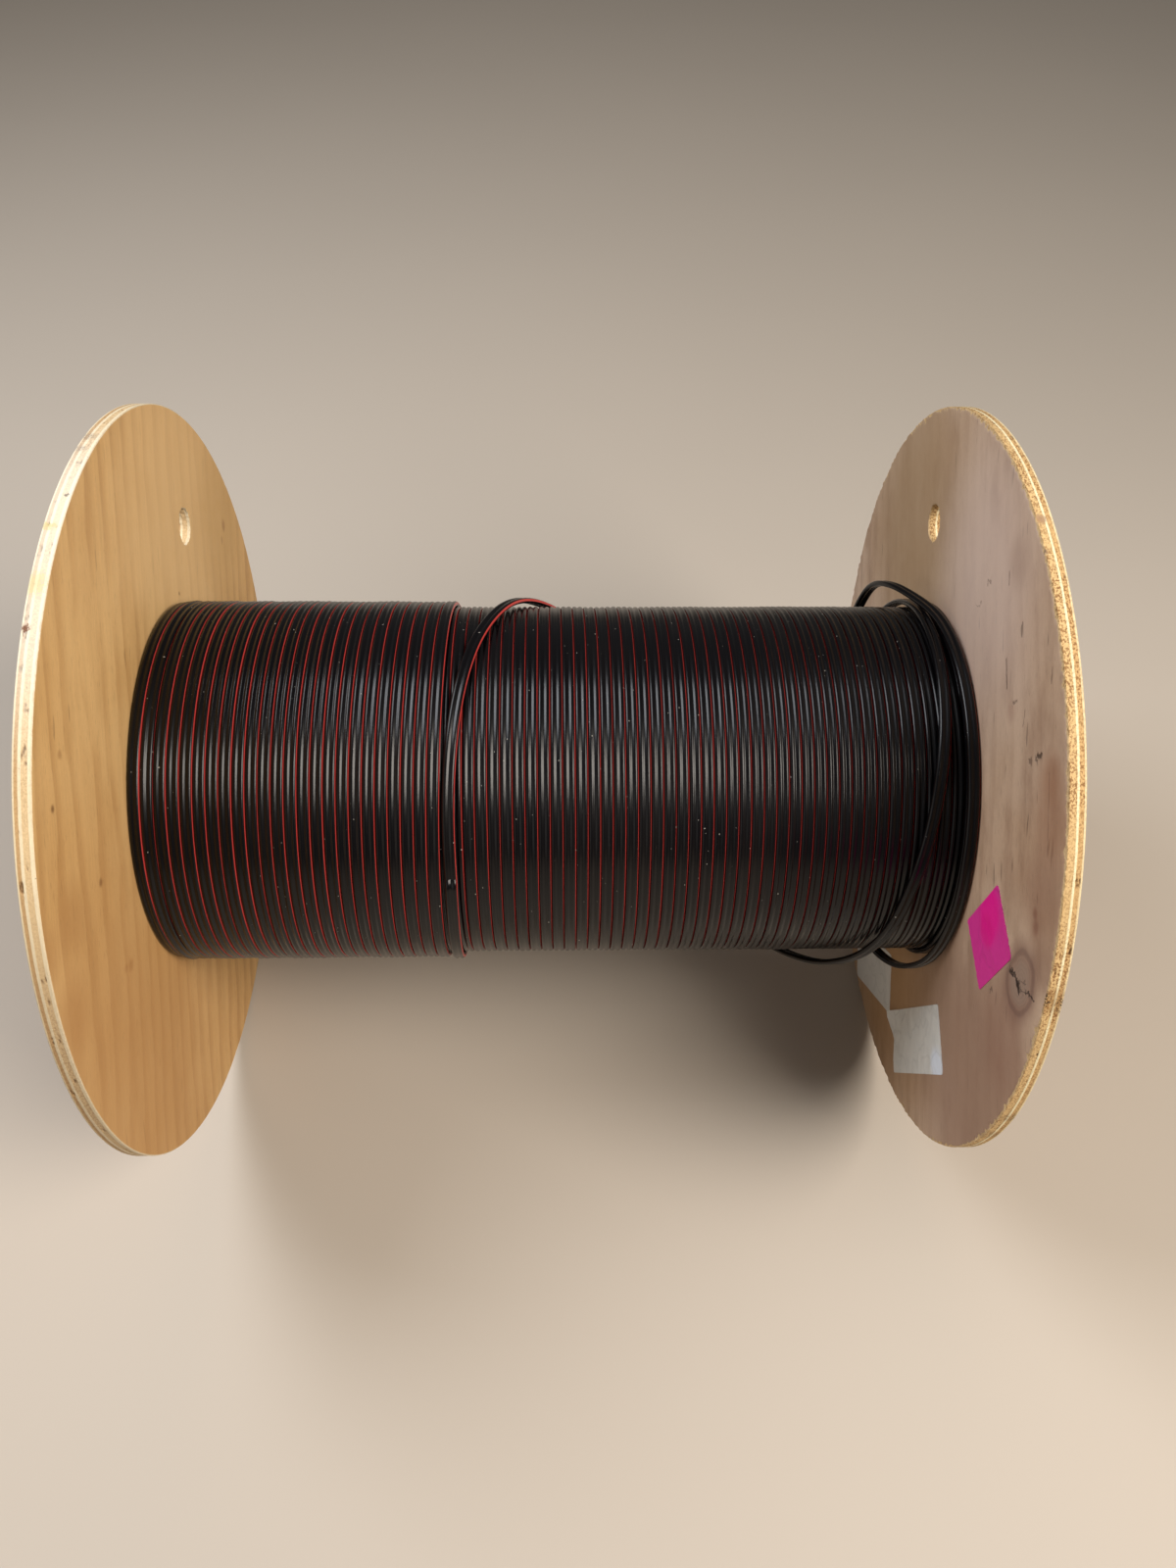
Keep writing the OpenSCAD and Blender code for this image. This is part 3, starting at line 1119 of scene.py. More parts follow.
@dataclass(frozen=True)
class LooseEnd:
    """The cable's own end, which has come off the winding.

    Each point of its route is a place along the drum in millimetres, an angle round the drum's line
    in degrees and a distance from it in millimetres. The bare strands' sizes are in millimetres.
    """

    sheath: bpy.types.Material
    copper: bpy.types.Material
    cable: Cable = Cable()
    length: float = 1.6886
    steps: int = 8
    strands: int = 24
    strand_r: float = 0.125
    strand_sides: int = 8
    bundle_r: float = 0.7
    bare_length: float = 0.9
    bare_middle: float = 0.4
    spiral_deg: float = 137.508
    route: tuple[Point, ...] = (
        (-51.5, 20, 97.9), (-51.5, 45, 97.9), (-48.5, 69, 98), (-42, 90, 98.1), (-32, 109, 98.6),
        (-18, 131, 98.8), (1, 153, 98.6), (22, 177, 99), (42, 201, 99.5), (62, 226, 99.5),
        (82, 251, 99), (101, 276, 98.8), (118, 298, 99), (133, 315, 100.7), (147, 328, 102.6),
        (160, 340, 101.8), (170, 354, 99), (177, 376, 98.1), (183.5, 399, 98.1), (189, 423, 98.1),
        (191.6, 448, 98.1), (192, 474, 98.1), (191.5, 500, 98.4), (189, 527, 98.8), (186, 554, 99),
        (183, 582, 99), (181, 610, 99), (181, 636, 99.8), (184.5, 660, 102.3), (191, 680, 105.2),
        (198, 698, 104.2), (201, 718, 101.4), (201.2, 744, 101), (201.2, 771, 101), (200.6, 798, 101),
        (198, 821, 101.4), (191.5, 838, 103.2), (184.5, 850, 107.2), (180.3, 862, 109), (178.3, 878, 105),
        (177, 900, 100.5), (174.5, 928, 98.4), (171, 956, 98.1),
    )

    def line(self) -> list[Point]:
        """Smooths the route.

        Returns:
            Points as in the route, with more of them in between.
        """
        route = self.route
        last = len(route) - 1
        points: list[Point] = []
        for i in range(last):
            near = (route[max(i - 1, 0)], route[i], route[i + 1], route[min(i + 2, last)])
            for k in range(self.steps):
                t = k / self.steps
                points.append(tuple(
                    (
                        2 * q + (r - p) * t + (2 * p - 5 * q + 4 * r - w) * t * t
                        + (3 * q - p - 3 * r + w) * t**3
                    ) / 2
                    for p, q, r, w in zip(*near)
                ))
        return points + [route[last]]

    def make(self) -> list[bpy.types.Object]:
        """Returns:
            The cable and the strands.
        """
        line = self.line()
        path = [Vector(around(r * MM, math.radians(a), x * MM)) for x, a, r in line]

        def fill(bm: bmesh.types.BMesh) -> None:
            """Sweeps the section along the route and closes its two ends.

            Args:
                bm: The mesh.
            """
            rows, ways = self._rows(bm, line, path)
            skin(bm, rows)
            self._map(bm, ways)
            for row in (rows[0], rows[-1]):
                cap = bm.faces.new(row)
                for loop in cap.loops:
                    loop[bm.loops.layers.uv[UV_NAME]].uv = (0.0, self.cable.plain)

        cable = build("loose_cable", fill, [self.sheath], smooth_deg=60.0)
        strands = self._strands(path)
        declare(cable, "cable", "loose_end")
        declare(strands, "cable")
        return [cable, strands]

    def _rows(
        self, bm: bmesh.types.BMesh, line: Sequence[Point], path: Sequence[Vector]
    ) -> tuple[list[Ring], list[float]]:
        """Places the section at each point of the route, flat against the winding.

        Args:
            bm: The mesh.
            line: The route as places, angles and distances.
            path: The same points in the frame.

        Returns:
            The rings of points, and the way along the cable to each one.
        """
        section = self.cable.section()
        rows, ways, way = [], [], 0.0
        for i, centre in enumerate(path):
            ahead = path[min(i + 1, len(path) - 1)] - path[max(i - 1, 0)]
            across = ahead.cross(self._outwards(line[i][1])).normalized()
            away = across.cross(ahead).normalized()
            rows.append([bm.verts.new(centre + across * p + away * q) for p, q in section])
            way += (centre - path[i - 1]).length if i else 0.0
            ways.append(way)
        return rows, ways

    @staticmethod
    def _outwards(angle_deg: float) -> Vector:
        """Gives the direction away from the drum's line at an angle round it."""
        angle = math.radians(angle_deg)
        return Vector((0.0, -math.cos(angle), math.sin(angle)))

    @staticmethod
    def _map(bm: bmesh.types.BMesh, ways: Sequence[float]) -> None:
        """Writes the way along the cable and round its section as the UV map.

        Args:
            bm: The mesh, with the same number of points at each way.
            ways: The way along the cable to each ring of points.
        """
        count = len(bm.verts) // len(ways)
        layer = bm.loops.layers.uv.new(UV_NAME)
        bm.verts.index_update()
        for face in bm.faces:
            places = [loop.vert.index % count for loop in face.loops]
            wraps = max(places) == count - 1 and min(places) == 0
            for loop, place in zip(face.loops, places):
                v = count if wraps and place == 0 else place
                loop[layer].uv = (ways[loop.vert.index // count], v / count)

    def _strands(self, path: Sequence[Vector]) -> bpy.types.Object:
        """Makes the two bundles of bare strands that show at the cut end.

        Args:
            path: The cable's route in the frame.

        Returns:
            The strands.
        """
        ahead = (path[-1] - path[-2]).normalized()
        across = ahead.cross(self._outwards(self.route[-1][1])).normalized()
        p = Pattern("bare_strands")
        count = p.take("Strands in a bundle", self.strands, "Int")
        reach = p.take("Bundle radius", self.bundle_r * MM)
        wire = p.take("Strand radius", self.strand_r * MM)
        length = p.take("Bare length", self.bare_length * MM)
        still = {"Count": count, "Offset": (0.0, 0.0, 0.0)}
        points = p.node("GeometryNodeMeshLine", {"mode": "OFFSET"}, still)
        index = p.node("GeometryNodeInputIndex")
        turn = index * math.radians(self.spiral_deg)
        far = p.math("SQRT", (index + 0.5) / count) * reach
        spot = p.vector(p.math("COSINE", turn) * far, p.math("SINE", turn) * far, 0.0)
        spread = p.node("GeometryNodeSetPosition", None, {"Geometry": points, "Position": spot})
        sizes = {"Vertices": self.strand_sides, "Radius": wire, "Depth": length}
        rod = p.node("GeometryNodeMeshCylinder", None, sizes, "Mesh")
        bundle = p.node("GeometryNodeInstanceOnPoints", None, {"Points": spread, "Instance": rod})
        facing = (-ahead).to_track_quat("-Z", "Y").to_euler()
        placed = []
        for side in (-1, 1):
            place = path[-1] + ahead * self.bare_middle * MM + across * (side * self.cable.lobe_r)
            where = {"Geometry": bundle, "Translation": place, "Rotation": facing}
            placed.append(p.node("GeometryNodeTransform", None, where))
        return p.make(p.join(placed), self.copper)


@dataclass(frozen=True)
class Layer:
    """One visible layer of turns: a helix of the flat cable, with sizes in millimetres and degrees.

    It may start lower and climb onto its radius, and leave it again towards its end. Hide sets its
    stripe back round the section.
    """

    name: str
    start_deg: float
    end_deg: float
    start_x: float
    pitch: float
    radius: float
    low_x: float
    high_x: float
    seed: float
    climb_deg: float = 0.0
    climb: float = 0.0
    leave_deg: float = 0.0
    leave: float = 0.0
    leave_x: float = 0.0
    hide: float = 0.0


@dataclass(frozen=True)
class Winding:
    """The wound cable: its core and the turns that show, with sizes in millimetres.

    The turns lean a little to one side over the middle of the drum. Those beside the left flange
    lie unevenly, and the first two are rolled. A zone is a stretch of the drum over which
    something sets in.
    """

    sheath: bpy.types.Material
    cable: Cable = Cable()
    steps_a_turn: int = 84
    lean: float = 1.4
    lean_share: float = 0.68
    lean_x: float = -50.0
    lean_reach: float = 150.0
    lean_from_deg: float = 50.0
    stir_x: float = 0.12
    stir_r: float = 0.12
    stir_r_uneven: float = 0.3
    swell: float = 1.1
    uneven_zone: tuple[float, float] = (-176.0, -196.0)
    set_in: float = 0.4
    set_in_zone: tuple[float, float] = (-195.0, -203.0)
    roll_deg: float = 5.0
    roll_uneven_deg: float = 6.0
    first_roll_deg: float = 9.0
    first_zone: tuple[float, float] = (-198.0, -199.8)
    second_roll_deg: float = 13.0
    second_zones: tuple[tuple[float, float], ...] = ((-198.6, -197.2), (-191.5, -193.0))
    weld: float = 0.002
    core_bore: float = 50.2
    core_r: float = 92.4
    core_upper_r: float = 95.3
    core_upper_to: float = -55.0
    core_half: float = 204.8
    core_layers: int = 14
    core_points: int = 84
    core_scallop: tuple[tuple[float, float], ...] = ((0.0, 0.6), (0.25, 0.15), (0.5, 0.0), (0.75, 0.15))
    layers: tuple[Layer, ...] = (
        Layer("turns_full_layer", -14328, 1981, 201.74, -6.109, 93.975, -205, 201.75, 11.0, hide=0.004),
        Layer(
            "turns_part_layer", -160, 8660, -204.86, 6.196, 96.975, -201.75, 205, 31.0,
            climb_deg=150, climb=3.0, leave_deg=150, leave=0.925, leave_x=1.55,
        ),
        Layer("turns_heap", 200, 560, 201.75, 0.0, 96.975, -205, 201.75, 51.0),
    )

    def make(self) -> list[bpy.types.Object]:
        """Makes the core and each layer of turns.

        Returns:
            The pieces.
        """
        pieces = [self._core()] + [self._turns(layer) for layer in self.layers]
        for piece in pieces:
            declare(piece, "cable", "winding")
        return pieces

    def _turns(self, layer: Layer) -> bpy.types.Object:
        """Winds one layer with Geometry Nodes and closes its ends.

        Args:
            layer: The layer's sizes.

        Returns:
            The finished piece.
        """
        p = Pattern(layer.name)
        start = p.take("Start angle", math.radians(layer.start_deg))
        end = p.take("End angle", math.radians(layer.end_deg))
        radius = p.take("Radius", layer.radius * MM)
        seed = p.take("Seed", layer.seed)
        hide = p.take("Stripe set back", layer.hide)
        rings = round((layer.end_deg - layer.start_deg) / 360 * self.steps_a_turn) + 1
        count = p.take("Rings", rings, "Int")
        round_points = 2 * self.cable.lobe_points
        plane = {"Vertices X": count, "Vertices Y": round_points + 1, "Size X": 1.0, "Size Y": 1.0}
        mesh = p.node("GeometryNodeMeshGrid", None, plane, "Mesh")
        grid_x, grid_y, _ = p.split(p.node("GeometryNodeInputPosition"))
        angle = start + (end - start) * (grid_x + 0.5)
        into = angle - start
        leaving = p.step(end - angle, math.radians(layer.leave_deg), 0.0) if layer.leave_deg else 0.0
        x = self._along(p, layer, (angle, into, leaving), seed)
        uneven = self._zone(p, x, self.uneven_zone)
        r = self._away(p, layer, (angle, into, leaving), (x, uneven), radius, seed)
        px, py = self._section(p, p.math("ROUND", (grid_y + 0.5) * round_points), round_points)
        roll = self._roll(p, angle, x, uneven, seed)
        cosine, sine = p.math("COSINE", roll), p.math("SINE", roll)
        far = r + px * sine + py * cosine
        spot = p.vector(
            x + px * cosine - py * sine,
            far * p.math("COSINE", angle) * -1.0,
            far * p.math("SINE", angle) + AXIS_Z,
        )
        u, v, _ = p.split(Signal(p, mesh.socket.node.outputs["UV Map"]))
        stored = p.node(
            "GeometryNodeStoreNamedAttribute",
            {"data_type": "FLOAT2", "domain": "CORNER"},
            {"Geometry": mesh, "Name": UV_NAME, "Value": p.vector(u * (end - start) * radius, v + hide, 0.0)},
        )
        moved = p.node("GeometryNodeSetPosition", None, {"Geometry": stored, "Position": spot})
        welded = {"Geometry": moved, "Distance": self.weld * MM}
        made = p.make(p.node("GeometryNodeMergeByDistance", None, welded), self.sheath)
        self._close(made.data)
        return made

    def _along(self, p: Pattern, layer: Layer, course: Sequence[Any], seed: Signal) -> Signal:
        """Works out the place of the turns along the drum.

        Args:
            p: The tree under construction.
            layer: The layer's sizes.
            course: The angle, the angle from the start, and how far the cable is leaving its layer.
            seed: The seed of the wander.

        Returns:
            The place along the drum.
        """
        angle, into, leaving = course
        start_x = p.take("First turn", layer.start_x * MM)
        pitch = p.take("Pitch", layer.pitch * MM)
        low_x = p.take("Left limit", layer.low_x * MM)
        high_x = p.take("Right limit", layer.high_x * MM)
        lean = p.take("Lean", self.lean * MM)
        x = start_x + pitch * into / (2 * math.pi)
        x = p.math("MINIMUM", p.math("MAXIMUM", x, low_x), high_x)
        off_middle = p.math("ABSOLUTE", x - self.lean_x * MM)
        tilt = p.math("MAXIMUM", 1 - off_middle / (self.lean_reach * MM), 0.0)
        slope = p.math("SINE", angle - math.radians(self.lean_from_deg))
        x = x + tilt * slope * lean * self.lean_share * (1 - leaving)
        x = x + leaving * (layer.leave_x * MM)
        return x + self._stir(p, angle, seed, 0.9) * self.stir_x * MM

    def _away(
        self,
        p: Pattern,
        layer: Layer,
        course: Sequence[Any],
        place: tuple[Signal, Signal],
        radius: Signal,
        seed: Signal,
    ) -> Signal:
        """Works out the distance of the turns from the drum's line.

        Args:
            p: The tree under construction.
            layer: The layer's sizes.
            course: The angle, the angle from the start, and how far the cable is leaving its layer.
            place: The place along the drum, and how uneven the turns are there.
            radius: The layer's own radius.
            seed: The seed of the wander.

        Returns:
            The distance.
        """
        angle, into, leaving = course
        x, uneven = place
        swell = p.noise(x * 24, angle * 0.05, seed, 1.0) - 0.5
        set_in = self._zone(p, x, self.set_in_zone) * (self.set_in * MM)
        stir = self._stir(p, angle, seed + 7, 1.3) * (uneven * self.stir_r_uneven + self.stir_r)
        r = radius - set_in + stir * MM + swell * self.swell * MM
        if layer.climb_deg:
            r = r - p.step(into, math.radians(layer.climb_deg), 0.0) * (layer.climb * MM)
        return r + leaving * (layer.leave * MM)

    def _section(self, p: Pattern, number: Signal, count: int) -> tuple[Signal, Signal]:
        """Works out a point of the cable's section.

        Args:
            p: The tree under construction.
            number: The point's number round the section.
            count: How many points there are.

        Returns:
            The point's place across the flat cable and over it.
        """
        lobe = p.take("Lobe radius", self.cable.lobe_r)
        offset = p.take("Lobe offset", self.cable.lobe_r)
        opening = math.radians(self.cable.lobe_open_deg)
        j = p.math("MODULO", number, count)
        second = j > self.cable.lobe_points - 0.5
        share = (j - second * self.cable.lobe_points) / (self.cable.lobe_points - 1)
        theta = share * (2 * opening) - opening + second * math.pi
        return (1 - second * 2) * offset + p.math("COSINE", theta) * lobe, p.math("SINE", theta) * lobe

    def _roll(self, p: Pattern, angle: Signal, x: Signal, uneven: Signal, seed: Signal) -> Signal:
        """Works out how far the flat cable is rolled over.

        Args:
            p: The tree under construction.
            angle: The angle round the drum's line.
            x: The place along the drum.
            uneven: How uneven the turns are there.
            seed: The seed of the wander.

        Returns:
            The angle of the roll.
        """
        loose = uneven * math.radians(self.roll_uneven_deg) + math.radians(self.roll_deg)
        first = self._zone(p, x, self.first_zone)
        second = self._zone(p, x, self.second_zones[0]) * self._zone(p, x, self.second_zones[1])
        roll = self._stir(p, angle, seed + 13, 0.8) * loose + first * math.radians(self.first_roll_deg)
        return roll - second * math.radians(self.second_roll_deg)

    @staticmethod
    def _zone(p: Pattern, x: Signal, zone: tuple[float, float]) -> Signal:
        """Goes from 0 to 1 over a stretch of the drum."""
        return p.step(x, zone[0] * MM, zone[1] * MM)

    @staticmethod
    def _stir(p: Pattern, angle: Signal, seed: Any, rate: float) -> Signal:
        """Gives a slow wander from -1 to 1 along the turns."""
        return (p.noise(angle * rate, seed, 0.0, 1.0) - 0.5) * 2

    @staticmethod
    def _close(mesh: bpy.types.Mesh) -> None:
        """Closes the two cut ends of a wound tube and smooths its sides.

        Args:
            mesh: The tube.
        """
        bm = bmesh.new()
        bm.from_mesh(mesh)
        caps = bmesh.ops.holes_fill(bm, edges=[e for e in bm.edges if e.is_boundary])["faces"]
        bmesh.ops.recalc_face_normals(bm, faces=bm.faces)
        for face in bm.faces:
            face.smooth = face not in caps
        bm.to_mesh(mesh)
        bm.free()

    def _end_profile(self, side: Side, high: float, count: int) -> Profile:
        """Draws the scallops that the layers show at one end.

        Args:
            side: The end.
            high: How far the end reaches from the drum's line.
            count: The number of layers.

        Returns:
            The profile, from the bore outwards.
        """
        points = []
        for k in range(count):
            for part, dip in self.core_scallop:
                height = self.core_bore + (high - self.core_bore) * (k + part) / count
                points.append((side.value * (self.core_half - dip), height))
        return points + [(side.value * (self.core_half - self.core_scallop[0][1]), high)]

    def _core(self) -> bpy.types.Object:
        """Makes the wound block under the outermost turns, with the turns of each layer at its ends.

        Returns:
            The block.
        """
        profile = self._end_profile(Side.RIGHT, self.core_r, self.core_layers)
        profile += [(self.core_upper_to, self.core_r), (self.core_upper_to, self.core_upper_r)]
        profile += reversed(self._end_profile(Side.LEFT, self.core_upper_r, self.core_layers + 1))

        def fill(bm: bmesh.types.BMesh) -> None:
            """Turns the profile into a closed ring, away from the stripe's place on the UV map.

            Args:
                bm: The mesh.
            """
            rows = turned(bm, profile, self.core_points)
            skin(bm, rows + [rows[0]])
            layer = bm.loops.layers.uv.new(UV_NAME)
            for face in bm.faces:
                for loop in face.loops:
                    loop[layer].uv = (loop.vert.co.x, self.cable.plain)

        return build("wound_core", fill, [self.sheath], smooth_deg=40.0)


@dataclass
class Flange:
    """One plywood disc with its bore, rod holes, side hole and groove, with sizes in millimetres.

    Torn is how far its inner face is torn away at the rim, rough how deep the end grain is, and
    void_from how rare the voids are. Cuts and voids hold, by a point's number, how much of the cut
    edge and of a void the point shows.
    """

    side: Side
    finish: PlywoodFinish
    hole_deg: float
    node: str
    slot: str
    torn: float
    rough: float
    void_from: float
    sectors: int = 1080
    bore_r: float = 20.0
    bore_points: int = 128
    bore_rough: float = 0.12
    rod_r: float = 4.25
    rod_reach: float = 33.0
    rod_degs: tuple[float, ...] = (45, 135, 225, 315)
    rod_points: int = 32
    hole_r: float = 10.0
    hole_reach: float = 140.5
    hole_points: int = 96
    hole_rough: float = 0.9
    groove_in: float = 45.8
    groove_out: float = 50.2
    groove_depth: float = 2.0
    groove_sectors: int = 128
    depths: tuple[float, ...] = (
        0.0, 0.12, 0.3, 0.5, 0.8, 1.2, 1.6, 2.0, 2.4, 2.8, 3.2, 3.6, 4.0, 4.4,
        4.8, 5.2, 5.6, 6.0, 6.4, 6.8, 7.2, 7.5, 7.7, 7.88, 8.0,
    )
    face_insets: tuple[float, ...] = (6.5, 5.0, 3.6, 2.8, 2.1, 1.5, 1.0)
    outer_inset: float = 4.0
    wall_depths: tuple[float, ...] = (0.15, 1.0, 2.2, 3.4, 4.6, 5.8, 7.0, 7.85)
    lip: float = 0.3
    lip_cut: float = 0.3
    collar: float = 1.8
    arris: float = 0.55
    arris_cut: float = 0.35
    arris_band: float = 0.1
    tear_depth: float = 0.7
    tear_width: float = 0.5
    tear_from: float = 0.3
    tear_rise: float = 1.5
    tear_fade: float = 1.2
    void_depth: float = 0.55
    smooth_rough: float = 0.05
    cuts: dict[int, float] = field(default_factory=dict)
    voids: dict[int, float] = field(default_factory=dict)

    def make(self) -> bpy.types.Object:
        """Makes the disc and puts it in place of the plain one.

        Returns:
            The disc. Its mesh carries where the edge is cut and where it has voids.
        """
        made = build(self.node + "_ply", self._fill, [self.finish.material()], smooth_deg=40.0)
        for name, values in (("cut", self.cuts), ("void", self.voids)):
            layer = made.data.attributes.new(name, "FLOAT", "POINT")
            layer.data.foreach_set("value", [values.get(i, 0.0) for i in range(len(made.data.vertices))])
        declare(made, self.slot, self.node)
        return made

    def _at(self, radius: float, angle: float, depth: float) -> Point:
        """Gives a point of the disc from millimetres and the depth below its inner face."""
        return around(radius * MM, angle, self.side.value * (HALF_W + depth * MM))

    def _tear(self, angle: float) -> float:
        """Says how far the inner face is torn away from its rim.

        Args:
            angle: The angle round the drum's line.

        Returns:
            The width of the tear there.
        """
        y, z = math.cos(angle), math.sin(angle)
        seed = 3.0 * self.side.value
        broad = noise.noise(Vector((y * 5, z * 5, seed))) + 0.25
        fine = noise.noise(Vector((y * 60, z * 60, seed)))
        fine += 0.6 * noise.noise(Vector((y * 170, z * 170, seed)))
        return max(0.0, self.torn * (0.45 + broad) * (0.55 + fine))

    def _rim(self, angle: float, depth: float) -> tuple[float, float]:
        """Shapes the rim: rounded arrises, rough end grain and voids.

        Args:
            angle: The angle round the drum's line.
            depth: The depth below the inner face.

        Returns:
            The rim's radius and how dark a void it shows there.
        """
        y, z = math.cos(angle), math.sin(angle)
        plies = self.finish.plies
        near_face = max(0.0, 1 - min(depth, FLANGE_T - depth) / self.arris)
        band = next((i for i, ply in enumerate(plies) if depth <= ply.end), len(plies) - 1)
        across = plies[band].across
        uneven = noise.noise(Vector((y * 160, z * 160, depth * 1.4 + self.side.value)))
        inset = self.arris * near_face**2 + (self.rough if across else self.smooth_rough) * (1 + uneven)
        void = 0.0
        if across:
            streak = noise.noise(Vector((y * 22, z * 22, band * 3.0 + 5 * self.side.value)))
            pit = noise.noise(Vector((y * 120, z * 120, depth * 0.8)))
            void = min(1.0, max(0.0, (streak * 1.1 + pit * 0.7 - self.void_from) * 5))
            inset += self.void_depth * void
        return FLANGE_R - max(inset, 0.0), void

    def _ring(
        self,
        bm: bmesh.types.BMesh,
        points: Sequence[Point],
        cut: Sequence[float] | float,
        void: Sequence[float] | float = 0.0,
    ) -> Ring:
        """Adds points, and notes how much of the cut edge and of a void each one shows.

        Args:
            bm: The mesh.
            points: The points.
            cut: The cut edge's share at every point, or at each.
            void: The void's share at every point, or at each.

        Returns:
            The new points.
        """
        verts = []
        for i, point in enumerate(points):
            number = len(bm.verts)
            verts.append(bm.verts.new(point))
            self.cuts[number] = cut if isinstance(cut, float) else cut[i]
            self.voids[number] = void if isinstance(void, float) else void[i]
        return verts

    def _fill(self, bm: bmesh.types.BMesh) -> None:
        """Writes the whole disc.

        Args:
            bm: The mesh.
        """
        angles = [2 * math.pi * i / self.sectors for i in range(self.sectors)]
        tears = [self._tear(a) for a in angles]
        rows = []
        for inset in self.face_insets:
            depth = self.tear_depth if inset < self.face_insets[0] else 0.0
            sunk = [min(1.0, max(0.0, (t - inset) / self.tear_width + 0.5)) for t in tears]
            points = [self._at(FLANGE_R - inset, a, depth * share) for a, share in zip(angles, sunk)]
            rows.append(self._ring(bm, points, sunk if depth else 0.0))
        for depth in self.depths:
            points, cuts, voids = [], [], []
            for a, tear in zip(angles, tears):
                radius, void = self._rim(a, depth)
                torn = min(1.0, max(0.0, (tear - self.tear_from) * self.tear_rise))
                pushed = depth + torn * self.tear_depth * max(0.0, 1 - depth / self.tear_fade)
                points.append(self._at(radius, a, pushed))
                inside = self.arris_band < depth < FLANGE_T - self.arris_band
                cuts.append(1.0 if inside else self.arris_cut + torn)
                voids.append(void)
            rows.append(self._ring(bm, points, cuts, voids))
        outer = [self._at(FLANGE_R - self.outer_inset, a, FLANGE_T) for a in angles]
        rows.append(self._ring(bm, outer, 0.0))
        skin(bm, rows)
        self._holes(bm, rows[0], rows[-1])

    def _bore(
        self, bm: bmesh.types.BMesh, reach: float, angle_deg: float, radius: float, points: int, rough: float
    ) -> tuple[Ring, Ring]:
        """Adds a hole's wall, with a flat collar round each of its lips.

        Args:
            bm: The mesh.
            reach: The hole's distance from the drum's line.
            angle_deg: Its angle, from the back upwards.
            radius: Its radius.
            points: Number of points round it.
            rough: How rough its wall is.

        Returns:
            The collars' outer rings on the inner and on the outer face.
        """
        y, z = reach * math.cos(math.radians(angle_deg)), reach * math.sin(math.radians(angle_deg))
        wall = [(depth, 0.0) for depth in self.wall_depths]
        rows = []
        for depth, wider in (
            (0.0, self.collar), (0.0, self.lip), *wall, (FLANGE_T, self.lip), (FLANGE_T, self.collar)
        ):
            flat = wider == self.collar
            row = []
            for i in range(points):
                a = 2 * math.pi * i / points
                place = Vector((math.cos(a) * 6, math.sin(a) * 6, depth * 2 + radius))
                r = (radius + wider + (0.0 if flat else rough * noise.noise(place))) * MM
                x = self.side.value * (HALF_W + depth * MM)
                row.append((x, y * MM + r * math.cos(a), AXIS_Z + z * MM + r * math.sin(a)))
            rows.append(self._ring(bm, row, 0.0 if flat else self.lip_cut if wider else 1.0))
        skin(bm, rows)
        return rows[0], rows[-1]

    def _holes(self, bm: bmesh.types.BMesh, inner: Ring, outer: Ring) -> None:
        """Bores the holes, sinks the groove and fills the two faces round them.

        Args:
            bm: The mesh.
            inner: The innermost ring of the inner face's rim.
            outer: That of the outer face.
        """
        side_hole = self._bore(
            bm, self.hole_reach, self.hole_deg, self.hole_r, self.hole_points, self.hole_rough
        )
        arbor = self._bore(bm, 0.0, 0.0, self.bore_r, self.bore_points, self.bore_rough)
        rods = [
            self._bore(bm, self.rod_reach, angle, self.rod_r, self.rod_points, 0.0)
            for angle in self.rod_degs
        ]
        steps = [2 * math.pi * i / self.groove_sectors for i in range(self.groove_sectors)]
        groove = [
            self._ring(bm, [self._at(r, a, depth) for a in steps], cut)
            for r, depth, cut in (
                (self.groove_out, 0.0, 0.0), (self.groove_out, self.groove_depth, 1.0),
                (self.groove_in, self.groove_depth, 1.0), (self.groove_in, 0.0, 0.0),
            )
        ]
        skin(bm, groove)
        self._cover(bm, [inner, groove[0], side_hole[0]])
        self._cover(bm, [groove[3], arbor[0]] + [rod[0] for rod in rods])
        self._cover(bm, [outer, arbor[1], side_hole[1]] + [rod[1] for rod in rods])

    @staticmethod
    def _holds(loop: Sequence[Vector], place: Vector) -> bool:
        """Says whether a place lies inside a closed loop of places.

        Args:
            loop: The loop's places.
            place: The place.

        Returns:
            True inside, by the number of the loop's sides to one side of the place.
        """
        inside = False
        for a, b in zip(loop, [*loop[1:], loop[0]]):
            if (a.y > place.y) != (b.y > place.y):
                crossing = a.x + (place.y - a.y) / (b.y - a.y) * (b.x - a.x)
                inside = inside != (place.x < crossing)
        return inside

    def _cover(self, bm: bmesh.types.BMesh, loops: Sequence[Ring]) -> None:
        """Fills the flat region inside the first loop and outside the others.

        Args:
            bm: The mesh.
            loops: Closed loops of points in one plane.
        """
        verts = [vert for loop in loops for vert in loop]
        edges: list[tuple[int, int]] = []
        for loop in loops:
            start, count = len(edges), len(loop)
            edges += [(start + i, start + (i + 1) % count) for i in range(count)]
        flats = [[Vector((vert.co.y, vert.co.z)) for vert in loop] for loop in loops]
        owner = [number for number, loop in enumerate(loops) for _ in loop]
        flat = [place for loop in flats for place in loop]
        _, _, faces, origins, _, _ = delaunay_2d_cdt(flat, edges, [], 1, 1e-7)
        for face in faces:
            a, b, c = (origins[i][0] for i in face)
            hole = owner[a] if owner[a] == owner[b] == owner[c] else 0
            if hole and self._holds(flats[hole], (flat[a] + flat[b] + flat[c]) / 3):
                continue
            bm.faces.new((verts[a], verts[b], verts[c]))


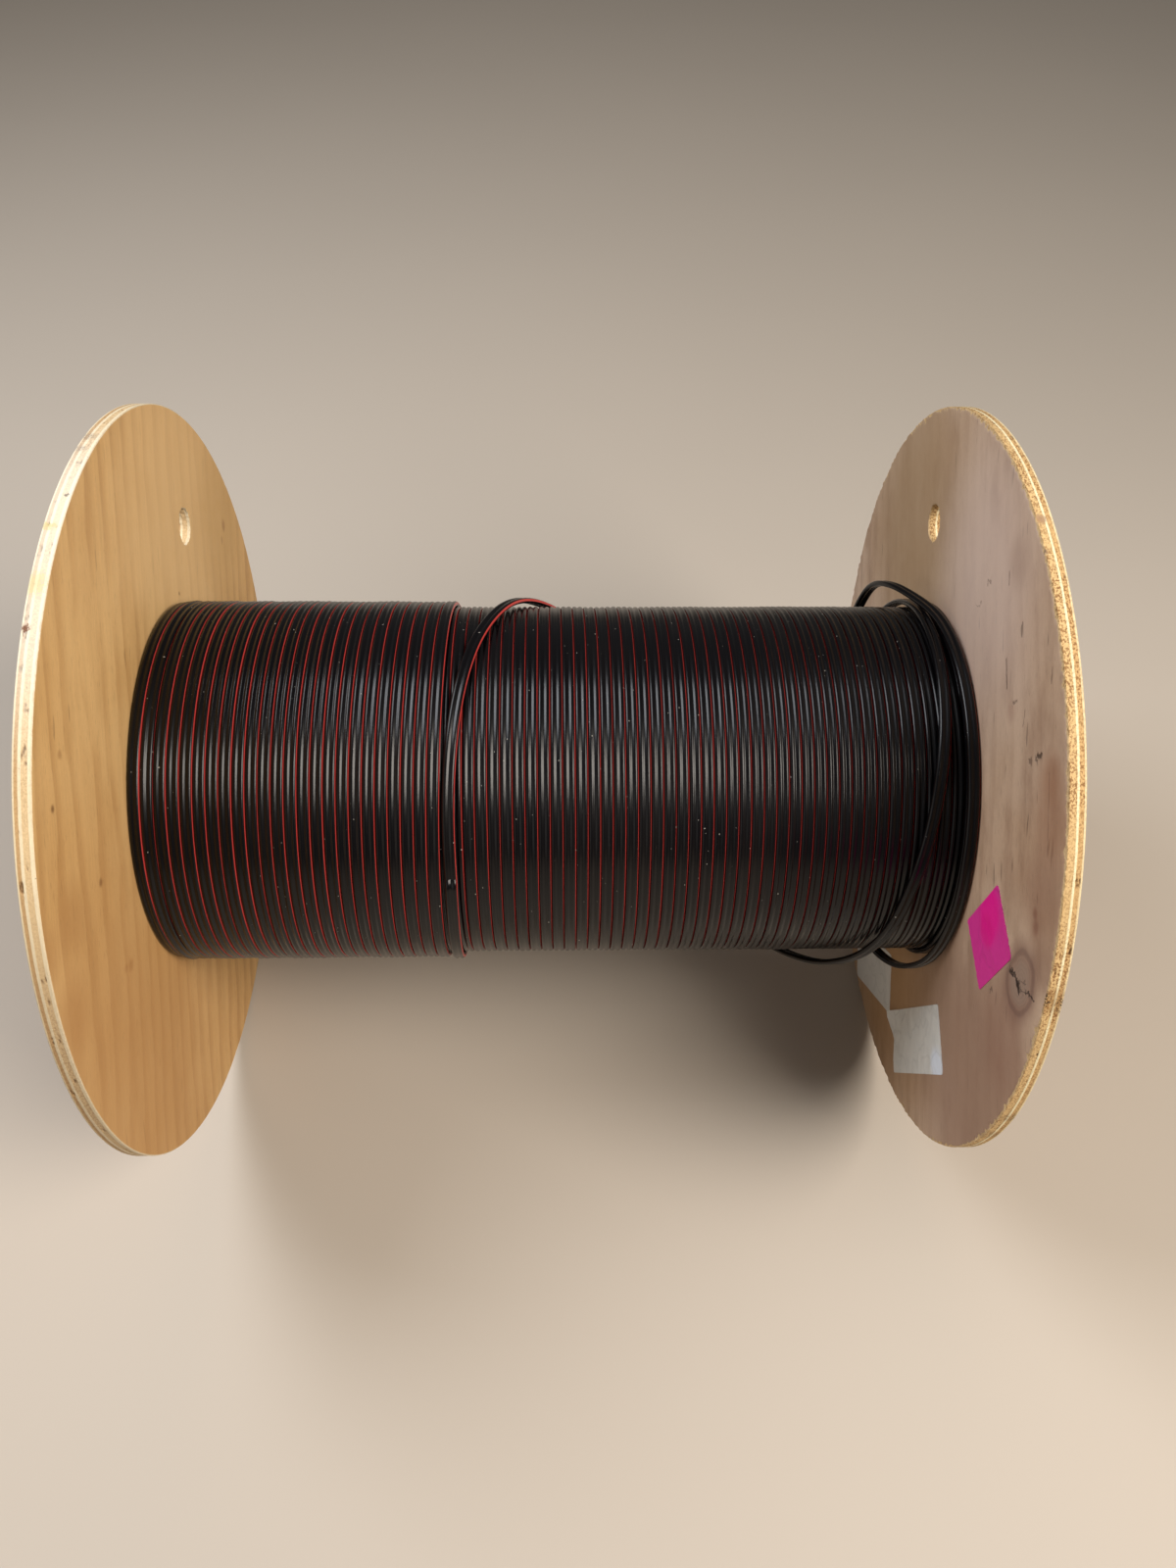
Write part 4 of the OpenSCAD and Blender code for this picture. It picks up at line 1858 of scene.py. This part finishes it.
@dataclass(frozen=True)
class Label:
    """A paper label on the inner face of the right flange, with sizes in millimetres.

    Bite is how deep one short edge is torn in, and curl how far one corner stands off.
    """

    name: str
    node: str
    slot: str
    length: float
    width: float
    reach: float
    angle_deg: float
    turn_deg: float
    ruffle: float
    seed: float
    radius: float = 2.0
    thick: float = 0.25
    back_gap: float = 0.02
    torn: float = 0.3
    worn_from: float = 0.9
    bite: float = 0.0
    curl: float = 0.0
    columns: int = 64
    rows: int = 48

    def make(self, material: bpy.types.Material) -> bpy.types.Object:
        """Makes the label and puts it in place of the plain one.

        Args:
            material: Its paper.

        Returns:
            The label.
        """
        made = build(self.name, self._fill, [material], smooth_deg=40.0)
        declare(made, self.slot, self.node)
        return made

    def _outline(self, u: float, v: float) -> tuple[float, float]:
        """Rounds the sheet's corners and wears its short edges.

        Args:
            u: Place along the sheet, -1 to 1.
            v: Place across it, -1 to 1.

        Returns:
            The place from the sheet's middle.
        """
        half_l, half_w, r = self.length / 2, self.width / 2, self.radius
        x, y = u * half_l, v * half_w
        ax, ay = abs(x) - (half_l - r), abs(y) - (half_w - r)
        if ax > 0 and ay > 0:
            squeeze = max(ax, ay) / math.hypot(ax, ay)
            x = math.copysign(half_l - r + ax * squeeze, x)
            y = math.copysign(half_w - r + ay * squeeze, y)
        if abs(u) > self.worn_from:
            worn = self.torn * (0.5 + noise.noise(Vector((y * 0.5, self.seed + u, 0.0))))
            bite = self.bite * math.exp(-((v + 0.1) / 0.38) ** 2) if u < 0 else 0.0
            x -= math.copysign((abs(u) - self.worn_from) * 10 * (worn + bite), u)
        return x, y

    def _point(self, front: bool, u: float, v: float) -> Point:
        """Places a point of the sheet on the flange.

        Args:
            front: Whether it is on the paper's front, which has the creases.
            u: Place along the sheet, -1 to 1.
            v: Place across it, -1 to 1.

        Returns:
            The point.
        """
        a, t = math.radians(self.angle_deg), math.radians(self.turn_deg)
        x, y = self._outline(u, v)
        lift = self.back_gap
        if front:
            lump = noise.noise(Vector((x * 0.09, y * 0.12, self.seed)))
            crease = abs(noise.noise(Vector((x * 0.05, y * 0.05, self.seed + 4))))
            lift = self.thick + self.ruffle * (max(0.0, lump) + 0.5 * max(0.0, 1 - crease * 9))
        lift += self.curl * max(0.0, -u - 0.62) * max(0.0, -v * 1.3 - 0.1)
        wy = self.reach * math.cos(a) + x * math.cos(t) - y * math.sin(t)
        wz = self.reach * math.sin(a) + x * math.sin(t) + y * math.cos(t)
        return (HALF_W - lift * MM, wy * MM, AXIS_Z + wz * MM)

    def _fill(self, bm: bmesh.types.BMesh) -> None:
        """Writes the sheet's front and back and joins their rims.

        Args:
            bm: The mesh.
        """
        rims = []
        for front in (True, False):
            grid = [
                [
                    bm.verts.new(self._point(front, 2 * i / self.columns - 1, 2 * j / self.rows - 1))
                    for i in range(self.columns + 1)
                ]
                for j in range(self.rows + 1)
            ]
            skin(bm, grid, closed=False)
            rim = grid[0][:-1] + [row[-1] for row in grid[:-1]]
            rims.append(rim + grid[-1][:0:-1] + [row[0] for row in grid[:0:-1]])
        skin(bm, rims)


@dataclass(frozen=True)
class Hardware:
    """Tie rods with rolled threads, washers and nuts, with sizes in millimetres."""

    steel: bpy.types.Material
    reach: float = 33.0
    rods: int = 4
    rod_r: float = 4.0
    rod_half: float = 223.6
    rod_sides: int = 24
    thread_pitch: float = 1.25
    thread_depth: float = 0.65
    thread_len: float = 16.0
    thread_from: float = 0.4
    thread_flank: float = 0.45
    thread_crest: float = 0.2
    washer_r: float = 11.0
    washer_t: float = 1.6
    washer_sides: int = 40
    washer_edge: float = 0.2
    washer_play: float = 0.2
    nut_af: float = 13.0
    nut_h: float = 6.5
    nut_sides: int = 48
    nut_chamfer: float = 0.6
    nut_corner: tuple[float, float] = (0.75, 1.1)
    nut_bite: float = 0.1
    outer: float = 213.0

    def make(self) -> list[bpy.types.Object]:
        """Makes the rods, the washers and the nuts.

        Returns:
            The three sets.
        """
        made = []
        for name, node, profile, sides in (
            ("threaded_rods", "tie_rods", self._rod(), self.rod_sides),
            ("plain_washers", "washers", self._washer(), self.washer_sides),
            ("hex_nuts", "nuts", self._nut(), self.nut_sides),
        ):
            piece = self._set(name, profile, sides, both=node != "tie_rods", hexagon=node == "nuts")
            declare(piece, "steel", node)
            made.append(piece)
        return made

    def _rod(self) -> Profile:
        """Draws a rod with its threads and chamfers.

        Returns:
            The profile, from one end of the rod to the other.
        """
        root = self.rod_r - self.thread_depth
        half = self.rod_half
        side = [(half, 0.0), (half, root)]
        turns = int(self.thread_len / self.thread_pitch)
        flank, crest = self.thread_flank, self.thread_flank + self.thread_crest
        for k in range(turns):
            x = half - self.thread_from - k * self.thread_pitch
            side += [(x, root), (x - flank, self.rod_r), (x - crest, self.rod_r), (x - crest - flank, root)]
        side.append((half - 2 * self.thread_from - turns * self.thread_pitch, self.rod_r))
        return side + [(-x, r) for x, r in reversed(side)]

    def _washer(self) -> Profile:
        """Draws a washer on the right flange.

        Returns:
            The profile, closed.
        """
        a, b, r, e = self.outer, self.outer + self.washer_t, self.washer_r, self.washer_edge
        hole = self.rod_r + self.washer_play
        outside = [(a, r - e), (a + e, r), (b - e, r), (b, r - e)]
        return [(a, hole), *outside, (b, hole + e), (b - e, hole), (a, hole)]

    def _nut(self) -> Profile:
        """Draws a nut across its corners on the right flange.

        Returns:
            The profile, closed.
        """
        a = self.outer + self.washer_t
        b = a + self.nut_h
        c = self.nut_chamfer
        corner = self.nut_af / math.sqrt(3)
        hole = self.rod_r - self.nut_bite
        outside = [(a, corner), (b - self.nut_corner[0], corner), (b, corner - self.nut_corner[1])]
        return [(a, hole + c), *outside, (b, hole + c), (b - c, hole), (a + c, hole), (a, hole + c)]

    def _one(self, bm: bmesh.types.BMesh, profile: Profile, sides: int, hexagon: bool) -> None:
        """Turns one fitting round the X line.

        Args:
            bm: The mesh.
            profile: Place along the drum and distance from the fitting's line.
            sides: Number of sides of the turned fitting.
            hexagon: Whether its outside is cut to six flats.
        """
        rows = []
        for x, r in profile:
            row = []
            for i in range(sides):
                a = 2 * math.pi * i / sides
                limit = self.nut_af / 2 / math.cos((a + math.pi / 6) % (math.pi / 3) - math.pi / 6)
                far = min(r, limit) if hexagon else r
                row.append(bm.verts.new((x * MM, far * MM * math.cos(a), far * MM * math.sin(a))))
            rows.append(row)
        skin(bm, rows)
        bmesh.ops.remove_doubles(bm, verts=bm.verts, dist=1e-6)

    def _set(self, name: str, profile: Profile, sides: int, both: bool, hexagon: bool) -> bpy.types.Object:
        """Makes one fitting and places it at every rod with Geometry Nodes.

        Args:
            name: The piece's name.
            profile: Place along the drum and distance from the fitting's line.
            sides: Number of sides of the turned fitting.
            both: Whether it sits on both flanges.
            hexagon: Whether its outside is cut to six flats.

        Returns:
            The finished piece.
        """
        one = build(
            name + "_one", lambda bm: self._one(bm, profile, sides, hexagon), [self.steel], smooth_deg=28.0
        )
        p = Pattern(name)
        reach = p.take("Distance from the drum's line", self.reach * MM)
        count = p.take("Number of rods", self.rods, "Int")
        ring = p.node("GeometryNodeMeshCircle", None, {"Vertices": count, "Radius": reach})
        flat = {"Geometry": ring, "Rotation": (0.0, 0.0, math.pi / self.rods)}
        square = p.node("GeometryNodeTransform", None, flat)
        upright = {"Geometry": square, "Rotation": (0.0, math.pi / 2, 0.0), "Translation": (0.0, 0.0, AXIS_Z)}
        places = p.node("GeometryNodeTransform", None, upright)
        info = p.node("GeometryNodeObjectInfo", None, {"Object": one}, "Geometry")
        placed = p.node("GeometryNodeInstanceOnPoints", None, {"Points": places, "Instance": info})
        if both:
            half_turn = {"Geometry": placed, "Rotation": (0.0, 0.0, math.pi)}
            placed = p.join([placed, p.node("GeometryNodeTransform", None, half_turn)])
        made = p.make(placed, self.steel)
        bpy.data.objects.remove(one)
        return made


@dataclass
class Drum:
    """The whole cable drum."""

    pieces: list[bpy.types.Object] = field(default_factory=list)

    def make(self, nodes: Mapping[str, bpy.types.Object]) -> None:
        """Builds and dresses every piece, the cord first.

        Args:
            nodes: The plain solids by name.
        """
        sheath = SheathFinish().material()
        copper = MetalFinish("copper", tone(214, 134, 92), tone(150, 84, 56), 0.25).material()
        steel = MetalFinish("zinc_steel", tone(178, 180, 181), tone(148, 143, 130), 0.38).material()
        left = Flange(
            Side.LEFT, LEFT_PLY, 41.5, "flange_left", "plywood_left", torn=0.5, rough=0.14, void_from=0.42
        )
        right = Flange(
            Side.RIGHT, RIGHT_PLY, 51.5, "flange_right", "plywood_right", torn=3.0, rough=0.26, void_from=0.66
        )
        self.pieces += LooseEnd(sheath, copper).make()
        self.pieces += Winding(sheath).make()
        self.pieces += [left.make(), right.make()]
        self._labels()
        self.pieces += Hardware(steel).make()
        tube = nodes["barrel"]
        tube.data.materials.clear()
        tube.data.materials.append(BoardFinish().material())
        self.pieces.append(tube)
        for piece in self.pieces:
            LOG.info("%s: %d faces", piece.name, len(piece.data.polygons))

    def _labels(self) -> None:
        """Makes the three labels."""
        stains = (Spot(-121, 44, 14, tone(224, 0, 136), 0.85), Spot(-126, 36, 9, tone(216, 0, 128), 0.7))
        # Painted sheen: a bluish-white patch of reflected light on the front label.
        sheen = (Spot(-139, -77, 11, tone(226, 236, 252), 0.75),)
        pink = PaperFinish("pink_paper", tone(206, 44, 140), tone(190, 38, 126), 0.0, stains, 1.0)
        white = PaperFinish("white_paper", tone(220, 220, 215), tone(198, 199, 197), 0.5, sheen, 5.0)
        white_paper = white.material()
        self.pieces += [
            Label(
                "pink_label", "label_pink", "pink_paper", 48, 36, reach=134, angle_deg=165, turn_deg=103,
                ruffle=0.25, seed=3.0, torn=1.0,
            ).make(pink.material()),
            Label(
                "front_label", "label_front", "white_paper", 96, 37, reach=151, angle_deg=224, turn_deg=117.4,
                ruffle=0.4, seed=8.0, bite=4.5, curl=5.5,
            ).make(white_paper),
            Label(
                "rear_label", "label_rear", "white_paper", 82, 37, reach=158.5, angle_deg=260, turn_deg=-42,
                ruffle=0.15, seed=14.0,
            ).make(white_paper),
        ]


def main() -> None:
    """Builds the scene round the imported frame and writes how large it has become."""
    logging.basicConfig(level=logging.INFO)
    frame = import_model()
    Camera().make()
    Drum().make(frame["nodes"])
    Studio().make()


if __name__ == "__main__":
    main()
